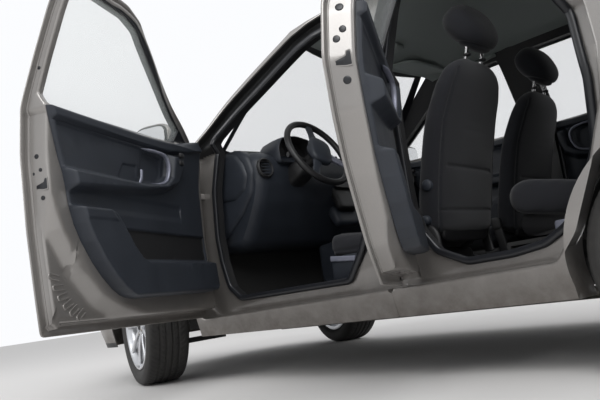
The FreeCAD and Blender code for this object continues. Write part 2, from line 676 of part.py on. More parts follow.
tyre_section = [
    (RIM_SEAT_RADIUS + SEAT_GAP, -84.0), (RIM_FLANGE_RADIUS + 0.5, -84.0),
    (250.0, -TYRE_WIDTH / 2), (TYRE_RADIUS, -80.0), (TYRE_RADIUS, 80.0),
    (250.0, TYRE_WIDTH / 2), (RIM_FLANGE_RADIUS + 0.5, 84.0), (RIM_SEAT_RADIUS + SEAT_GAP, 84.0)]
rim_section = [
    (196.0, -92.0), (RIM_FLANGE_RADIUS, -92.0),
    (RIM_FLANGE_RADIUS, -TYRE_BEAD_HALF - SEAT_GAP), (RIM_SEAT_RADIUS, -TYRE_BEAD_HALF - SEAT_GAP),
    (RIM_SEAT_RADIUS, TYRE_BEAD_HALF + SEAT_GAP), (RIM_FLANGE_RADIUS, TYRE_BEAD_HALF + SEAT_GAP),
    (RIM_FLANGE_RADIUS, 92.0), (196.0, 92.0)]


def revolved(section):
    """Ring from (radius, across) corners about the Y axis."""
    points = [V(r, y, 0) for r, y in section]
    face = Part.Face(Part.makePolygon(points + points[:1]))
    return face.revolve(V(0, 0, 0), V(0, 1, 0), 360)


SPOKES = 9
SPOKE_FACE = 78.0


def rim():
    parts = [revolved(rim_section)]
    parts.append(rod((0, 30, 0), (0, SPOKE_FACE, 0), 62))
    for i in range(SPOKES):
        spoke = block(40, 200, 52, SPOKE_FACE, -13, 13)
        parts.append(turned(spoke, (0, 0, 0), 360.0 * i / SPOKES, (0, 1, 0)))
    whole = parts[0].fuse(parts[1:])
    hub = rod((0, -10, 0), (0, 31, 0), 52)
    disc = rod((0, -DISC_INNER, 0), (0, -8, 0), 128)
    return whole.fuse([hub, disc]).removeSplitter()


rim_left = rim()
tyre = revolved(tyre_section)


def wheel_at(shape, x, side):
    shape = shape.copy()
    if side < 0:
        shape = mirrored(shape)
    shape.translate(V(x, side * TRACK_HALF, AXLE_HEIGHT))
    if x > 0:
        shape = turned(shape, (FRONT_AXLE, side * KINGPIN_Y, 0), STEER_REST)
    return shape


def knuckle(side):
    hub = rod((0, -75, 0), (0, -DISC_INNER - SEAT_GAP, 0), 40)
    arm = block(-30, 30, -160, -70, -60, 80)
    strut = rod((0, -138, 60), (0, -138, 330), 22)
    joint = rod((0, -KINGPIN_OFFSET, -BALL_JOINT_DROP), (0, -KINGPIN_OFFSET, 0), 20)
    shape = hub.fuse([arm, strut, joint]).removeSplitter()
    return wheel_at(shape, FRONT_AXLE, side)


# cabin

COLUMN_TILT = 25.0
STEERING_RATIO = 15.5
STEER_WHEEL_CENTRE = (300.0, 370.0, 950.0)
STEER_WHEEL_RADIUS = 185.0
BOSS_FACE = 20.0

DASH_OUTLINE = [(800, 560), (800, 965), (560, 1010), (470, 985), (440, 880), (480, 700), (600, 560)]
dash_body = side_prism(DASH_OUTLINE, -632, 632, 30)
console = box(60, 660, -95, 95, 360 + SEAT_GAP, 600)
binnacle = side_prism([(560, 1000), (560, 1050), (430, 1055), (420, 1000), (450, 940)], 250, 490, 15)
lean = math.radians(COLUMN_TILT)
hub_x, hub_y, hub_z = STEER_WHEEL_CENTRE
column = cylinder((hub_x + (BOSS_FACE + SEAT_GAP) * math.cos(lean), hub_y,
                   hub_z - (BOSS_FACE + SEAT_GAP) * math.sin(lean)),
                  (hub_x + 240 * math.cos(lean), hub_y, hub_z - 240 * math.sin(lean)), 28)
dashboard = fused([dash_body, console, binnacle, column])


def seat(y, half, x_front, x_back, z_base, z_cushion, back_top, headrest_top):
    cushion = box(x_back, x_front, y - half, y + half, z_base, z_cushion)
    back = side_prism([(x_back - 60, z_cushion - 60), (x_back + 70, z_cushion - 40),
                       (x_back - 130, back_top), (x_back - 240, back_top)],
                      y - half, y + half, 25)
    head = box(x_back - 245, x_back - 145, y - 130, y + 130, back_top + 40, headrest_top)
    posts = [cylinder((x_back - 195, y + s * 60, back_top - 40),
                      (x_back - 195, y + s * 60, back_top + 60), 6) for s in (-1, 1)]
    rails = [box(x_back - 20, x_front - 40, y + s * 190 - 20, y + s * 190 + 20, 220.5, z_base)
             for s in (-1, 1)]
    return fused([cushion, back, head] + posts + rails)


driver_seat = seat(365, 238, 190, -300, 300, 500, 1100, 1308)
passenger_seat = seat(-365, 238, 250, -240, 300, 500, 1100, 1310)
rear_cushion = box(-1130, -610, -620, 620, 392 + SEAT_GAP, 590)
rear_back = side_prism([(-1070, 560), (-1250, 1010), (-1350, 1010), (-1200, 420), (-1130, 420)],
                       -550, 550, 25)
rear_heads = [box(-1345, -1265, y - 110, y + 110, 1000, 1150) for y in (-360, 0, 360)]
rear_seat = fused([rear_cushion.cut(both_sides(box(-1200, -860, 545, 700, 380, 600))), rear_back]
                  + rear_heads)

# steering wheel


def steering_wheel():
    ring = Part.makeTorus(STEER_WHEEL_RADIUS - 15, 15, V(0, 0, 0), V(1, 0, 0))
    boss = rod((-22, 0, 0), (BOSS_FACE, 0, 0), 60)
    arms = [block(-9, 9, -170, 170, -15, 15), block(-9, 9, -15, 15, -170, 0)]
    shape = fused([ring, boss] + arms)
    shape = turned(shape, (0, 0, 0), STEER_REST * STEERING_RATIO, (-1, 0, 0))
    shape = turned(shape, (0, 0, 0), COLUMN_TILT, (0, 1, 0))
    x, y, z = STEER_WHEEL_CENTRE
    shape.translate(V(along(x), y, z))
    return shape


# mirrors


def mirror():
    foot = side_slab(flat(-22.0), flat(-0.3), 540, 700, 1035, 1075)
    head = box(590, 680, 788, 960, 1040, 1160)
    return foot.fuse(head).removeSplitter()


left_mirror = mirror()


def opened_front(shape):
    return turned(shape, (along(FRONT_HINGE[0]), FRONT_HINGE[1], 0), LEFT_FRONT_OPEN)


def opened_rear(shape):
    return turned(shape, (along(REAR_HINGE[0]), REAR_HINGE[1], 0), LEFT_REAR_OPEN)


front_trim = door_trim(FRONT_TRIM)
rear_trim = door_trim(REAR_TRIM)

nodes = {
    "underbody": underbody,
    "body_side_left": left_side,
    "body_side_right": mirrored(left_side),
    "roof_panel": roof_panel,
    "front_wings": both_sides(front_wing),
    "bumpers": Part.makeCompound([front_bumper, rear_bumper]),
    "plastic_grilles": grilles,
    "lamps": lamps,
    "windscreen": windscreen,
    "dashboard": dashboard,
    "front_seats": Part.makeCompound([driver_seat, passenger_seat]),
    "rear_seat": rear_seat,
    "door_seals": Part.makeCompound(seals + [mirrored(s) for s in seals]),
    "front_subframe": subframe,
    "rear_axle": rear_beam,
    "engine_block": ENGINE,
    "exhaust": exhaust,
    "front_door_left": opened_front(front_door),
    "front_door_right": mirrored(front_door),
    "rear_door_left": opened_rear(rear_door),
    "rear_door_right": mirrored(rear_door),
    "front_trim_left": opened_front(front_trim),
    "front_trim_right": mirrored(front_trim),
    "rear_trim_left": opened_rear(rear_trim),
    "rear_trim_right": mirrored(rear_trim),
    "front_glass_left": opened_front(front_glass),
    "front_glass_right": mirrored(front_glass),
    "rear_glass_left": opened_rear(rear_glass),
    "rear_glass_right": mirrored(rear_glass),
    "mirror_left": opened_front(left_mirror),
    "mirror_right": mirrored(left_mirror),
    "bonnet": bonnet,
    "tailgate": tailgate,
    "tailgate_glass": tailgate_glass,
    "steering_wheel": steering_wheel(),
    "knuckle_left": knuckle(1),
    "knuckle_right": knuckle(-1),
    "tyre_front_left": wheel_at(tyre, FRONT_AXLE, 1),
    "tyre_front_right": wheel_at(tyre, FRONT_AXLE, -1),
    "tyre_rear_left": wheel_at(tyre, REAR_AXLE, 1),
    "tyre_rear_right": wheel_at(tyre, REAR_AXLE, -1),
    "rim_front_left": wheel_at(rim_left, FRONT_AXLE, 1),
    "rim_front_right": wheel_at(rim_left, FRONT_AXLE, -1),
    "rim_rear_left": wheel_at(rim_left, REAR_AXLE, 1),
    "rim_rear_right": wheel_at(rim_left, REAR_AXLE, -1),
}

os.makedirs("parts", exist_ok=True)
for name, shape in nodes.items():
    shape.exportStep("parts/" + name + ".step")
    bounds = shape.BoundBox
    print(name, shape.isValid(), len(shape.Solids), round(shape.Volume / 1e6, 2), "dm3",
          [round(v) for v in (bounds.XMin, bounds.XMax, bounds.YMin, bounds.YMax,
                              bounds.ZMin, bounds.ZMax)])
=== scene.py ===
"""Looks of a small five-door hatchback with its left doors open."""

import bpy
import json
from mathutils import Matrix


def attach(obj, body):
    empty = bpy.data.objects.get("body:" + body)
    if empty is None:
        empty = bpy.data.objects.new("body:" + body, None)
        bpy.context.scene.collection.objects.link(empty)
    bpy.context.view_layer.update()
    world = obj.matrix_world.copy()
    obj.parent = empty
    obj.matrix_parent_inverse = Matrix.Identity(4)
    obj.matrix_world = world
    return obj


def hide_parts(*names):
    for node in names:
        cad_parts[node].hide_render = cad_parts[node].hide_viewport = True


bl_info = {
    "name": "Hatchback car",
    "version": (1, 0, 0),
    "blender": (4, 5, 0),
    "location": "View3D > Sidebar > Car",
    "description": "Panels, trim, seats, glass and wheels of a small hatchback car",
    "category": "Object",
}

import json
import math

import bmesh
import bpy
import numpy as np
from bpy.props import FloatProperty, FloatVectorProperty, PointerProperty
from mathutils import Matrix, Vector

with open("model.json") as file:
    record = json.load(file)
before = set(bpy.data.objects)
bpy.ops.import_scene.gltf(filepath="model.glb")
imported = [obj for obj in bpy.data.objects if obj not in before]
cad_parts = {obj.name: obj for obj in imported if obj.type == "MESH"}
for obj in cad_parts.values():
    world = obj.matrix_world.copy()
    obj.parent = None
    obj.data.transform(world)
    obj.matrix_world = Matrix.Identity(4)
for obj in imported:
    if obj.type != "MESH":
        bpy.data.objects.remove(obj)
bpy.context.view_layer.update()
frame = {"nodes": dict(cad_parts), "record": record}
NODES = frame["nodes"]

MM = 0.001

# Lengths below are in millimetres, X forward, Y to the car's left, Z up from the floor.

# the body's half width: one row per station along X, one column per height
HEIGHTS = np.array([205.0, 300.0, 420.0, 620.0, 850.0, 1005.0, 1150.0, 1300.0, 1440.0])
HALF_WIDTHS = [
    (-1860.0, [600.0, 640.0, 690.0, 705.0, 692.0, 668.0, 625.0, 580.0, 530.0]),
    (-1600.0, [700.0, 745.0, 775.0, 787.0, 784.0, 758.0, 700.0, 640.0, 575.0]),
    (-1225.0, [760.0, 786.0, 803.0, 815.0, 816.0, 797.0, 736.0, 669.0, 590.0]),
    (-600.0, [772.0, 797.0, 806.0, 818.0, 821.0, 806.0, 744.0, 674.0, 593.0]),
    (0.0, [772.0, 798.0, 807.0, 819.0, 821.0, 806.0, 744.0, 674.0, 593.0]),
    (500.0, [772.0, 797.0, 806.0, 818.0, 819.0, 802.0, 735.0, 660.0, 585.0]),
    (790.0, [770.0, 794.0, 804.0, 815.0, 808.0, 778.0, 680.0, 620.0, 560.0]),
    (1225.0, [760.0, 786.0, 802.0, 814.0, 786.0, 700.0, 640.0, 580.0, 520.0]),
    (1600.0, [700.0, 740.0, 770.0, 778.0, 738.0, 620.0, 560.0, 500.0, 440.0]),
    (1850.0, [610.0, 655.0, 690.0, 696.0, 640.0, 560.0, 500.0, 440.0, 400.0]),
    (2010.0, [470.0, 520.0, 560.0, 560.0, 500.0, 440.0, 400.0, 360.0, 330.0]),
]

# the pose of the photograph, in degrees
LEFT_FRONT_OPEN = -64.7
LEFT_REAR_OPEN = -60.8
FRONT_WHEELS_TURN = -19.0
STEERING_RATIO = 15.5

# door hinges: place of each upright axis, and the heights of the two hinges on it
FRONT_HINGE = (730.0, 788.0)
REAR_HINGE = (-335.0, 788.0)
HINGE_HEIGHTS = (430.0, 830.0)

DRIVER_Y = 370.0
COLUMN_LEAN = 25.0

# paint darkens towards the floor up to this height, in metres: painted shade of a dark ground under the
# car, and brown dust
SHADE_AND_DIRT_TOP = 0.42
SHADE_AND_DIRT_COLOUR = (0.075, 0.062, 0.050, 1)
BLACK = (0.012, 0.012, 0.013)


class CarFinish(bpy.types.PropertyGroup):
    """Colours a user would change."""

    paint: FloatVectorProperty(
        name="Paint", description="Body colour under the clear coat",
        default=(0.275, 0.262, 0.250), min=0, max=1, size=3, subtype="COLOR")
    trim: FloatVectorProperty(
        name="Trim", description="Grained plastic of the cabin",
        default=(0.020, 0.024, 0.032), min=0, max=1, size=3, subtype="COLOR")
    cloth: FloatVectorProperty(
        name="Cloth", description="Woven seat covers",
        default=(0.0068, 0.0074, 0.0104), min=0, max=1, size=3, subtype="COLOR")


class CarSizes(bpy.types.PropertyGroup):
    """Sizes a user would change."""

    tyre_radius: FloatProperty(
        name="Tyre radius", description="Outer radius of the tyres",
        default=0.295, min=0.2, max=0.4, unit="LENGTH")
    camera_lens: FloatProperty(
        name="Lens", description="Focal length on a 36 mm sensor",
        default=38.24, min=10, max=200, unit="CAMERA")


# shader maths


class Value:
    """A shader socket that can be added, multiplied and divided like a number."""

    def __init__(self, finish, socket):
        self.finish = finish
        self.socket = socket

    def _math(self, operation, first, second=None):
        values = [first] if second is None else [first, second]
        return self.finish.node("ShaderNodeMath", {"operation": operation}, dict(enumerate(values)))

    def __add__(self, other):
        return self._math("ADD", self, other)

    __radd__ = __add__

    def __sub__(self, other):
        return self._math("SUBTRACT", self, other)

    def __rsub__(self, other):
        return self._math("SUBTRACT", other, self)

    def __mul__(self, other):
        return self._math("MULTIPLY", self, other)

    __rmul__ = __mul__

    def __truediv__(self, other):
        return self._math("DIVIDE", self, other)

    def smallest(self, other):
        return self._math("MINIMUM", self, other)

    def clamped(self):
        return self._math("MAXIMUM", self, 0.0).smallest(1.0)


FINISHES = {}


class Finish:
    """One material: a Principled shader and the nodes that feed it, kept by its name."""

    def __init__(self, name, **constants):
        self.material = bpy.data.materials.new(name)
        self.material.use_nodes = True
        self.tree = self.material.node_tree
        self.shader = self.tree.nodes["Principled BSDF"]
        FINISHES[name] = self.material
        for socket, value in constants.items():
            self.set(socket.replace("_", " "), value)

    def set(self, socket, value):
        """Puts a number or a link on one of the shader's sockets."""
        self._feed(self.shader.inputs[socket], value)

    def _feed(self, target, value):
        if isinstance(value, Value):
            self.tree.links.new(value.socket, target)
        else:
            target.default_value = value

    def node(self, kind, settings=None, values=None, output=0):
        """Adds a node: its settings first, then the values or links of its sockets."""
        made = self.tree.nodes.new(kind)
        for key, setting in (settings or {}).items():
            setattr(made, key, setting)
        for key, value in (values or {}).items():
            self._feed(made.inputs[key], value)
        return Value(self, made.outputs[output])

    def place(self):
        """Object coordinates."""
        return self.node("ShaderNodeTexCoord", output=3)

    def height(self):
        """Height above the floor in metres."""
        return self.node("ShaderNodeSeparateXYZ", {}, {0: self.place()}, output=2)

    def noise(self, size, detail=2.0, roughness=0.5):
        """Noise with features of about the given size in metres."""
        return self.node("ShaderNodeTexNoise", {},
                         {"Vector": self.place(), "Scale": 1.0 / size, "Detail": detail,
                          "Roughness": roughness})

    def mixed(self, amount, first, second):
        """Colour between two colours."""
        return self.node("ShaderNodeMix", {"data_type": "RGBA"},
                         {0: amount, 6: first, 7: second}, output=2)

    def bump(self, height, strength, distance):
        self.set("Normal", self.node("ShaderNodeBump", {},
                                     {"Height": height, "Strength": strength, "Distance": distance}))


def rgba(colour, gain=1.0):
    return (colour[0] * gain, colour[1] * gain, colour[2] * gain, 1.0)


# finishes of one colour each: colour, roughness and the rest
PLAIN_FINISHES = {
    "seal_rubber": ((0.012, 0.013, 0.016), 0.34, {}),
    "floor_steel": ((0.02, 0.02, 0.02), 0.8, {}),
    "chassis_steel": ((0.03, 0.03, 0.03), 0.6, {}),
    "engine_alloy": ((0.4, 0.4, 0.4), 0.5, {"Metallic": 0.8}),
    "exhaust_steel": ((0.3, 0.28, 0.25), 0.5, {"Metallic": 0.8}),
    "window_glass": ((0.82, 0.88, 0.86), 0.02, {"Alpha": 0.16}),
    "lamp_glass": ((0.75, 0.77, 0.78), 0.08, {"Metallic": 0.3, "Coat_Weight": 1.0}),
    "wheel_alloy": ((0.55, 0.56, 0.58), 0.32, {"Metallic": 0.85, "Coat_Weight": 0.5}),
    "bright_metal": ((0.7, 0.7, 0.7), 0.15, {"Metallic": 1.0}),
    "silver_trim": ((0.24, 0.25, 0.31), 0.38, {"Metallic": 0.35}),
    "brake_steel": ((0.32, 0.30, 0.28), 0.4, {"Metallic": 0.9}),
    "mirror_glass": ((0.85, 0.86, 0.87), 0.03, {"Metallic": 1.0}),
    "red_lens": ((0.35, 0.01, 0.01), 0.1, {"Coat_Weight": 1.0}),
    "clear_lens": ((0.9, 0.92, 0.93), 0.03, {"Alpha": 0.2, "Coat_Weight": 1.0}),
    "bulb_glass": ((0.85, 0.85, 0.8), 0.1, {}),
    "plate_blank": ((0.55, 0.55, 0.53), 0.4, {}),
}


def make_finishes(colours):
    """Every finish of the car, by the record's slot names and a few more."""
    for name, (colour, roughness, rest) in PLAIN_FINISHES.items():
        Finish(name, Base_Color=rgba(colour), Roughness=roughness, **rest)

    paint = Finish("body_paint", Metallic=0.55, Roughness=0.36, Coat_Weight=0.9, Coat_Roughness=0.06)
    flake = paint.noise(0.0012, 1.0)
    cloud = paint.noise(0.35, 3.0)
    base = paint.mixed(flake, rgba(colours.paint, 0.86), rgba(colours.paint, 1.14))
    clean = paint.mixed(cloud * 0.25, base, rgba(colours.paint, 0.8))
    # lower paint mixes towards dark brown: painted shade of a dark ground under the car, and dust that also
    # roughens and dulls the coat
    low = 1.0 - paint.height() / SHADE_AND_DIRT_TOP
    shade_and_splash = (low * 1.5 * (0.35 + paint.noise(0.05, 5.0, 0.65))).clamped()
    paint.set("Base Color", paint.mixed(shade_and_splash, clean, SHADE_AND_DIRT_COLOUR))
    paint.set("Roughness", 0.34 + shade_and_splash * 0.4)
    paint.set("Coat Weight", 0.9 - shade_and_splash * 0.7)

    trim = Finish("interior_plastic", Specular_IOR_Level=0.45)
    grain = trim.noise(0.0016, 2.0, 0.6)
    worn = trim.noise(0.08, 4.0)
    trim.set("Base Color", trim.mixed(worn, rgba(colours.trim, 0.8), rgba(colours.trim, 1.35)))
    trim.set("Roughness", 0.42 + worn * 0.2)
    trim.bump(grain, 0.25, 0.0006)

    cloth = Finish("seat_fabric", Roughness=0.95, Sheen_Weight=0.15, Sheen_Roughness=0.5)
    weave = cloth.noise(0.0022, 2.0, 0.7)
    fade = cloth.noise(0.12, 3.0)
    cloth.set("Base Color", cloth.mixed(weave * 0.6 + fade * 0.4, rgba(colours.cloth, 0.6),
                                        rgba(colours.cloth, 1.7)))
    cloth.bump(weave, 0.5, 0.001)

    for name, roughness, size, strength in (("black_plastic", 0.5, 0.0015, 0.2),
                                            ("wheel_leather", 0.45, 0.002, 0.3)):
        black = Finish(name, Base_Color=rgba(BLACK), Roughness=roughness)
        black.bump(black.noise(size, 2.0), strength, 0.0005)

    tyre = Finish("tyre_rubber", Roughness=0.75)
    dust = tyre.noise(0.03, 4.0)
    tyre.set("Base Color", tyre.mixed(dust, rgba(BLACK), (0.035, 0.033, 0.030, 1)))

    lining = Finish("roof_lining", Roughness=0.95)
    felt = lining.noise(0.003, 3.0)
    lining.set("Base Color", lining.mixed(felt, (0.27, 0.305, 0.295, 1), (0.34, 0.375, 0.36, 1)))
    lining.bump(felt, 0.2, 0.0008)


# surfaces


SKIN_STEP_X = 10.0
SKIN_STEP_Z = 5.0


def smooth_skin():
    """Half width on a fine table: straight lines between the given rows, then rounded by a moving mean."""
    xs = np.arange(-1960.0, 2101.0, SKIN_STEP_X)
    zs = np.arange(150.0, 1551.0, SKIN_STEP_Z)
    stations = np.array([row[0] for row in HALF_WIDTHS])
    widths = np.array([row[1] for row in HALF_WIDTHS])
    along = np.array([np.interp(xs, stations, widths[:, k]) for k in range(widths.shape[1])])
    table = np.array([np.interp(zs, HEIGHTS, along[:, i]) for i in range(len(xs))])
    for axis, reach in ((0, 12), (1, 9)):
        kernel = np.hanning(2 * reach + 1)
        kernel /= kernel.sum()
        pad = [(reach, reach) if a == axis else (0, 0) for a in (0, 1)]
        padded = np.pad(table, pad, mode="edge")
        table = np.apply_along_axis(lambda line: np.convolve(line, kernel, "valid"), axis, padded)
    return xs, zs, table


SKIN_X, SKIN_Z, SKIN_TABLE = smooth_skin()


def skin_y(x, z):
    """Half width of the body at arrays of stations and heights, between four table places."""
    fx = np.clip((x - SKIN_X[0]) / SKIN_STEP_X, 0, len(SKIN_X) - 1.001)
    fz = np.clip((z - SKIN_Z[0]) / SKIN_STEP_Z, 0, len(SKIN_Z) - 1.001)
    i, j = fx.astype(int), fz.astype(int)
    u, v = fx - i, fz - j
    t = SKIN_TABLE
    return ((1 - u) * (1 - v) * t[i, j] + u * (1 - v) * t[i + 1, j]
            + (1 - u) * v * t[i, j + 1] + u * v * t[i + 1, j + 1])


def rounded_loop(corners, count, soften):
    """Closed loop through corners: evenly spaced points, then a moving mean along the loop rounds them."""
    corner = np.array(corners, float)
    closed = np.vstack([corner, corner[:1]])
    for spacing, reach_mm in ((1.5, soften), (0.0, 0.0)):
        way = np.concatenate([[0.0], np.cumsum(np.linalg.norm(np.diff(closed, axis=0), axis=1))])
        number = max(int(way[-1] / spacing), 96) if spacing else count
        at = np.arange(number) * way[-1] / number
        loop = np.stack([np.interp(at, way, closed[:, k]) for k in range(closed.shape[1])], -1)
        if reach_mm:
            reach = max(int(reach_mm * number / way[-1]), 1)
            kernel = np.hanning(2 * reach + 3)[1:-1]
            kernel /= kernel.sum()
            padded = np.concatenate([loop[-reach:], loop, loop[:reach]])
            loop = np.stack([np.convolve(padded[:, k], kernel, "valid")
                             for k in range(loop.shape[1])], -1)
        closed = np.vstack([loop, loop[:1]])
    return loop


def loop_normals(loop):
    """Unit normals of a closed plane loop, pointing away from its middle."""
    ahead = np.roll(loop, -1, 0) - np.roll(loop, 1, 0)
    normal = np.stack([ahead[:, 1], -ahead[:, 0]], -1)
    normal /= np.linalg.norm(normal, axis=1)[:, None] + 1e-9
    x, y = loop[:, 0], loop[:, 1]
    area = np.sum(x * np.roll(y, -1) - np.roll(x, -1) * y)
    return normal if area > 0 else -normal


def seen_from(centre, corners, soften, loop):
    """Points of a rounded outline in the same directions from a centre as the points of a loop."""
    dense = rounded_loop(corners, 3000, soften) - centre
    angle = np.arctan2(dense[:, 1], dense[:, 0])
    order = np.argsort(angle)
    angle = angle[order]
    reach = np.linalg.norm(dense, axis=1)[order]
    ray = loop - centre
    wanted = np.arctan2(ray[:, 1], ray[:, 0])
    length = np.interp(wanted, angle, reach, period=2 * math.pi)
    return centre + np.stack([np.cos(wanted), np.sin(wanted)], -1) * length[:, None]


def step(value, width):
    """Soft step: 0 below -width/2, 1 above width/2, a cubic between."""
    t = np.clip(value / width + 0.5, 0.0, 1.0)
    return t * t * (3.0 - 2.0 * t)


def inside(x, z, corners):
    """Signed distance to a polygon's edge, positive inside."""
    far = np.full(x.shape, 1e9)
    odd = np.zeros(x.shape, bool)
    for (ax, az), (bx, bz) in zip(corners, corners[1:] + corners[:1]):
        ex, ez = bx - ax, bz - az
        t = np.clip(((x - ax) * ex + (z - az) * ez) / (ex * ex + ez * ez + 1e-9), 0, 1)
        far = np.minimum(far, np.hypot(x - ax - t * ex, z - az - t * ez))
        if az != bz:
            crossed = ((az > z) != (bz > z)) & (x < ex * (z - az) / ez + ax)
            odd ^= crossed
    return np.where(odd, far, -far)


def grid_faces(rows, columns, wrap_rows=False, wrap_columns=False, offset=0):
    """Quads of a grid of points, row after row, closed on itself where asked."""
    i = np.arange(rows if wrap_rows else rows - 1)
    j = np.arange(columns if wrap_columns else columns - 1)
    a, b = np.meshgrid(i, j, indexing="ij")
    a2, b2 = (a + 1) % rows, (b + 1) % columns
    quads = np.stack([a * columns + b, a2 * columns + b, a2 * columns + b2, a * columns + b2], -1)
    return quads.reshape(-1, 4) + offset


# radius that stands for nothing where a turned profile meets its axis
POLE = 0.001


class Surface:
    """Grid of points in millimetres, whether its rows and columns close, and its finish number."""

    def __init__(self, points, rows=False, columns=False, finish=0):
        self.points = np.asarray(points, float)
        self.rows = rows
        self.columns = columns
        self.finish = finish

    def moved(self, change):
        """The same surface with its points changed by a function."""
        return Surface(change(self.points), self.rows, self.columns, self.finish)


def evaluated(piece):
    """Points and faces of a piece after its modifiers, as a new mesh."""
    view = bpy.context.evaluated_depsgraph_get()
    return bpy.data.meshes.new_from_object(piece.evaluated_get(view))


# a piece keeps this many faces, and this share of those above them; a padded piece keeps its own share
WHOLE_QUADS = 9000
THIN_SHARE = 0.2
CLOTH_SHARE = 0.25
# points nearer than this are one, in metres
MERGE_REACH = 2e-5
# shorter than this counts as no length
NO_LENGTH = 1e-6


def thinned(piece, share):
    """Fewer faces: edges collapse where the surface bends least, the borders between finishes stay."""
    mesh = piece.data
    work = bmesh.new()
    work.from_mesh(mesh)
    border = {v.index for e in work.edges if len({f.material_index for f in e.link_faces}) > 1
              for v in e.verts}
    work.free()
    free = piece.vertex_groups.new(name="free")
    free.add([k for k in range(len(mesh.vertices)) if k not in border], 1.0, "REPLACE")
    fewer = piece.modifiers.new("fewer", "DECIMATE")
    fewer.ratio = share
    fewer.vertex_group = "free"
    fewer.vertex_group_factor = 1.0
    thin = evaluated(piece)
    piece.modifiers.remove(fewer)
    piece.vertex_groups.clear()
    piece.data = thin
    return thin


def shade_smooth(mesh):
    mesh.polygons.foreach_set("use_smooth", np.ones(len(mesh.polygons), bool))


def grid_mesh(name, surfaces, finishes):
    """One mesh from closed surfaces, doubles merged and faces turned outwards."""
    verts, faces, numbers = [], [], []
    count = 0
    for surface in surfaces:
        rows, columns = surface.points.shape[:2]
        quads = grid_faces(rows, columns, surface.rows, surface.columns, count)
        verts.append(surface.points.reshape(-1, 3))
        faces.append(quads)
        finish = np.broadcast_to(np.asarray(surface.finish),
                                 (rows - (not surface.rows), columns - (not surface.columns)))
        numbers.append(finish.reshape(-1))
        count += rows * columns
    points = np.concatenate(verts) * MM
    quads = np.concatenate(faces)
    mesh = bpy.data.meshes.new(name)
    mesh.vertices.add(len(points))
    mesh.vertices.foreach_set("co", points.ravel())
    mesh.loops.add(quads.size)
    mesh.loops.foreach_set("vertex_index", quads.ravel().astype(np.int32))
    mesh.polygons.add(len(quads))
    mesh.polygons.foreach_set("loop_start", np.arange(0, quads.size, 4, dtype=np.int32))
    mesh.polygons.foreach_set("loop_total", np.full(len(quads), 4, dtype=np.int32))
    for key in finishes:
        mesh.materials.append(FINISHES[key])
    mesh.polygons.foreach_set("material_index", np.concatenate(numbers).astype(np.int32))
    mesh.update()
    work = bmesh.new()
    work.from_mesh(mesh)
    bmesh.ops.remove_doubles(work, verts=work.verts, dist=MERGE_REACH)
    bmesh.ops.dissolve_degenerate(work, edges=work.edges, dist=NO_LENGTH)
    bmesh.ops.recalc_face_normals(work, faces=work.faces)
    work.to_mesh(mesh)
    work.free()
    return mesh


def mesh_piece(name, surfaces, finishes, body, node=None, smooth=35.0):
    """One object from closed surfaces: thinned, smooth below an angle, riding on a body."""
    mesh = grid_mesh(name, surfaces, finishes)
    piece = bpy.data.objects.new(name, mesh)
    bpy.context.scene.collection.objects.link(piece)
    count = len(mesh.polygons)
    if count > WHOLE_QUADS:
        mesh = thinned(piece, (WHOLE_QUADS + THIN_SHARE * (count - WHOLE_QUADS)) / count)
    shade_smooth(mesh)
    mesh.set_sharp_from_angle(angle=math.radians(smooth))
    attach(piece, body)
    if node:
        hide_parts(*([node] if isinstance(node, str) else node))
    return piece


def turn_about(points, hinge, degrees):
    """Points turned about an upright line through (x, y)."""
    a = math.radians(degrees)
    x, y = points[..., 0] - hinge[0], points[..., 1] - hinge[1]
    return np.stack([hinge[0] + x * math.cos(a) - y * math.sin(a),
                     hinge[1] + x * math.sin(a) + y * math.cos(a), points[..., 2]], -1)


def tilted(points, degrees):
    """Points turned about the Y axis."""
    a = math.radians(degrees)
    x, z = points[..., 0], points[..., 2]
    return np.stack([x * math.cos(a) + z * math.sin(a), points[..., 1],
                     -x * math.sin(a) + z * math.cos(a)], -1)


def shifted(x, y, z=0.0):
    """Movement by a fixed step."""
    return lambda points: points + np.array([x, y, z])


def standing(flat, y):
    """Outlines in (x, z) stood up across the car, one place along Y for each."""
    across = np.broadcast_to(np.asarray(y, float)[..., None], flat.shape[:-1])
    return np.stack([flat[..., 0], across, flat[..., 1]], -1)


def mirror(points):
    """Points on the other side of the car."""
    return points * np.array([1.0, -1.0, 1.0])


def plate(front, back, finish=0):
    """Closed plate between two grids of the same size, its four sides walled."""
    across = np.concatenate([front, back[:, ::-1]], 1)
    ends = []
    for row in (0, -1):
        middle = (front[row] + back[row]) / 2
        ends.append(np.concatenate([middle, middle[::-1]])[None])
    return Surface(np.concatenate([ends[0], across, ends[1]]), columns=True, finish=finish)


def rings(sections, finish=0):
    """Closed form from rings of points, its two ends drawn together to their middles."""
    sections = np.asarray(sections, float)
    start = np.broadcast_to(sections[0].mean(0), sections[0].shape)
    end = np.broadcast_to(sections[-1].mean(0), sections[-1].shape)
    return Surface(np.concatenate([start[None], sections, end[None]]), columns=True, finish=finish)


def spline(points, count):
    """Smooth curve through points (Catmull-Rom cubic), evenly stepped between them."""
    p = np.asarray(points, float)
    p = np.vstack([2 * p[0] - p[1], p, 2 * p[-1] - p[-2]])
    at = np.linspace(0, len(p) - 3 - 1e-9, count)
    i = at.astype(int)
    t = (at - i)[:, None]
    a, b, c, d = p[i], p[i + 1], p[i + 2], p[i + 3]
    return 0.5 * (2 * b + (c - a) * t + (2 * a - 5 * b + 4 * c - d) * t ** 2
                  + (3 * b - a - 3 * c + d) * t ** 3)


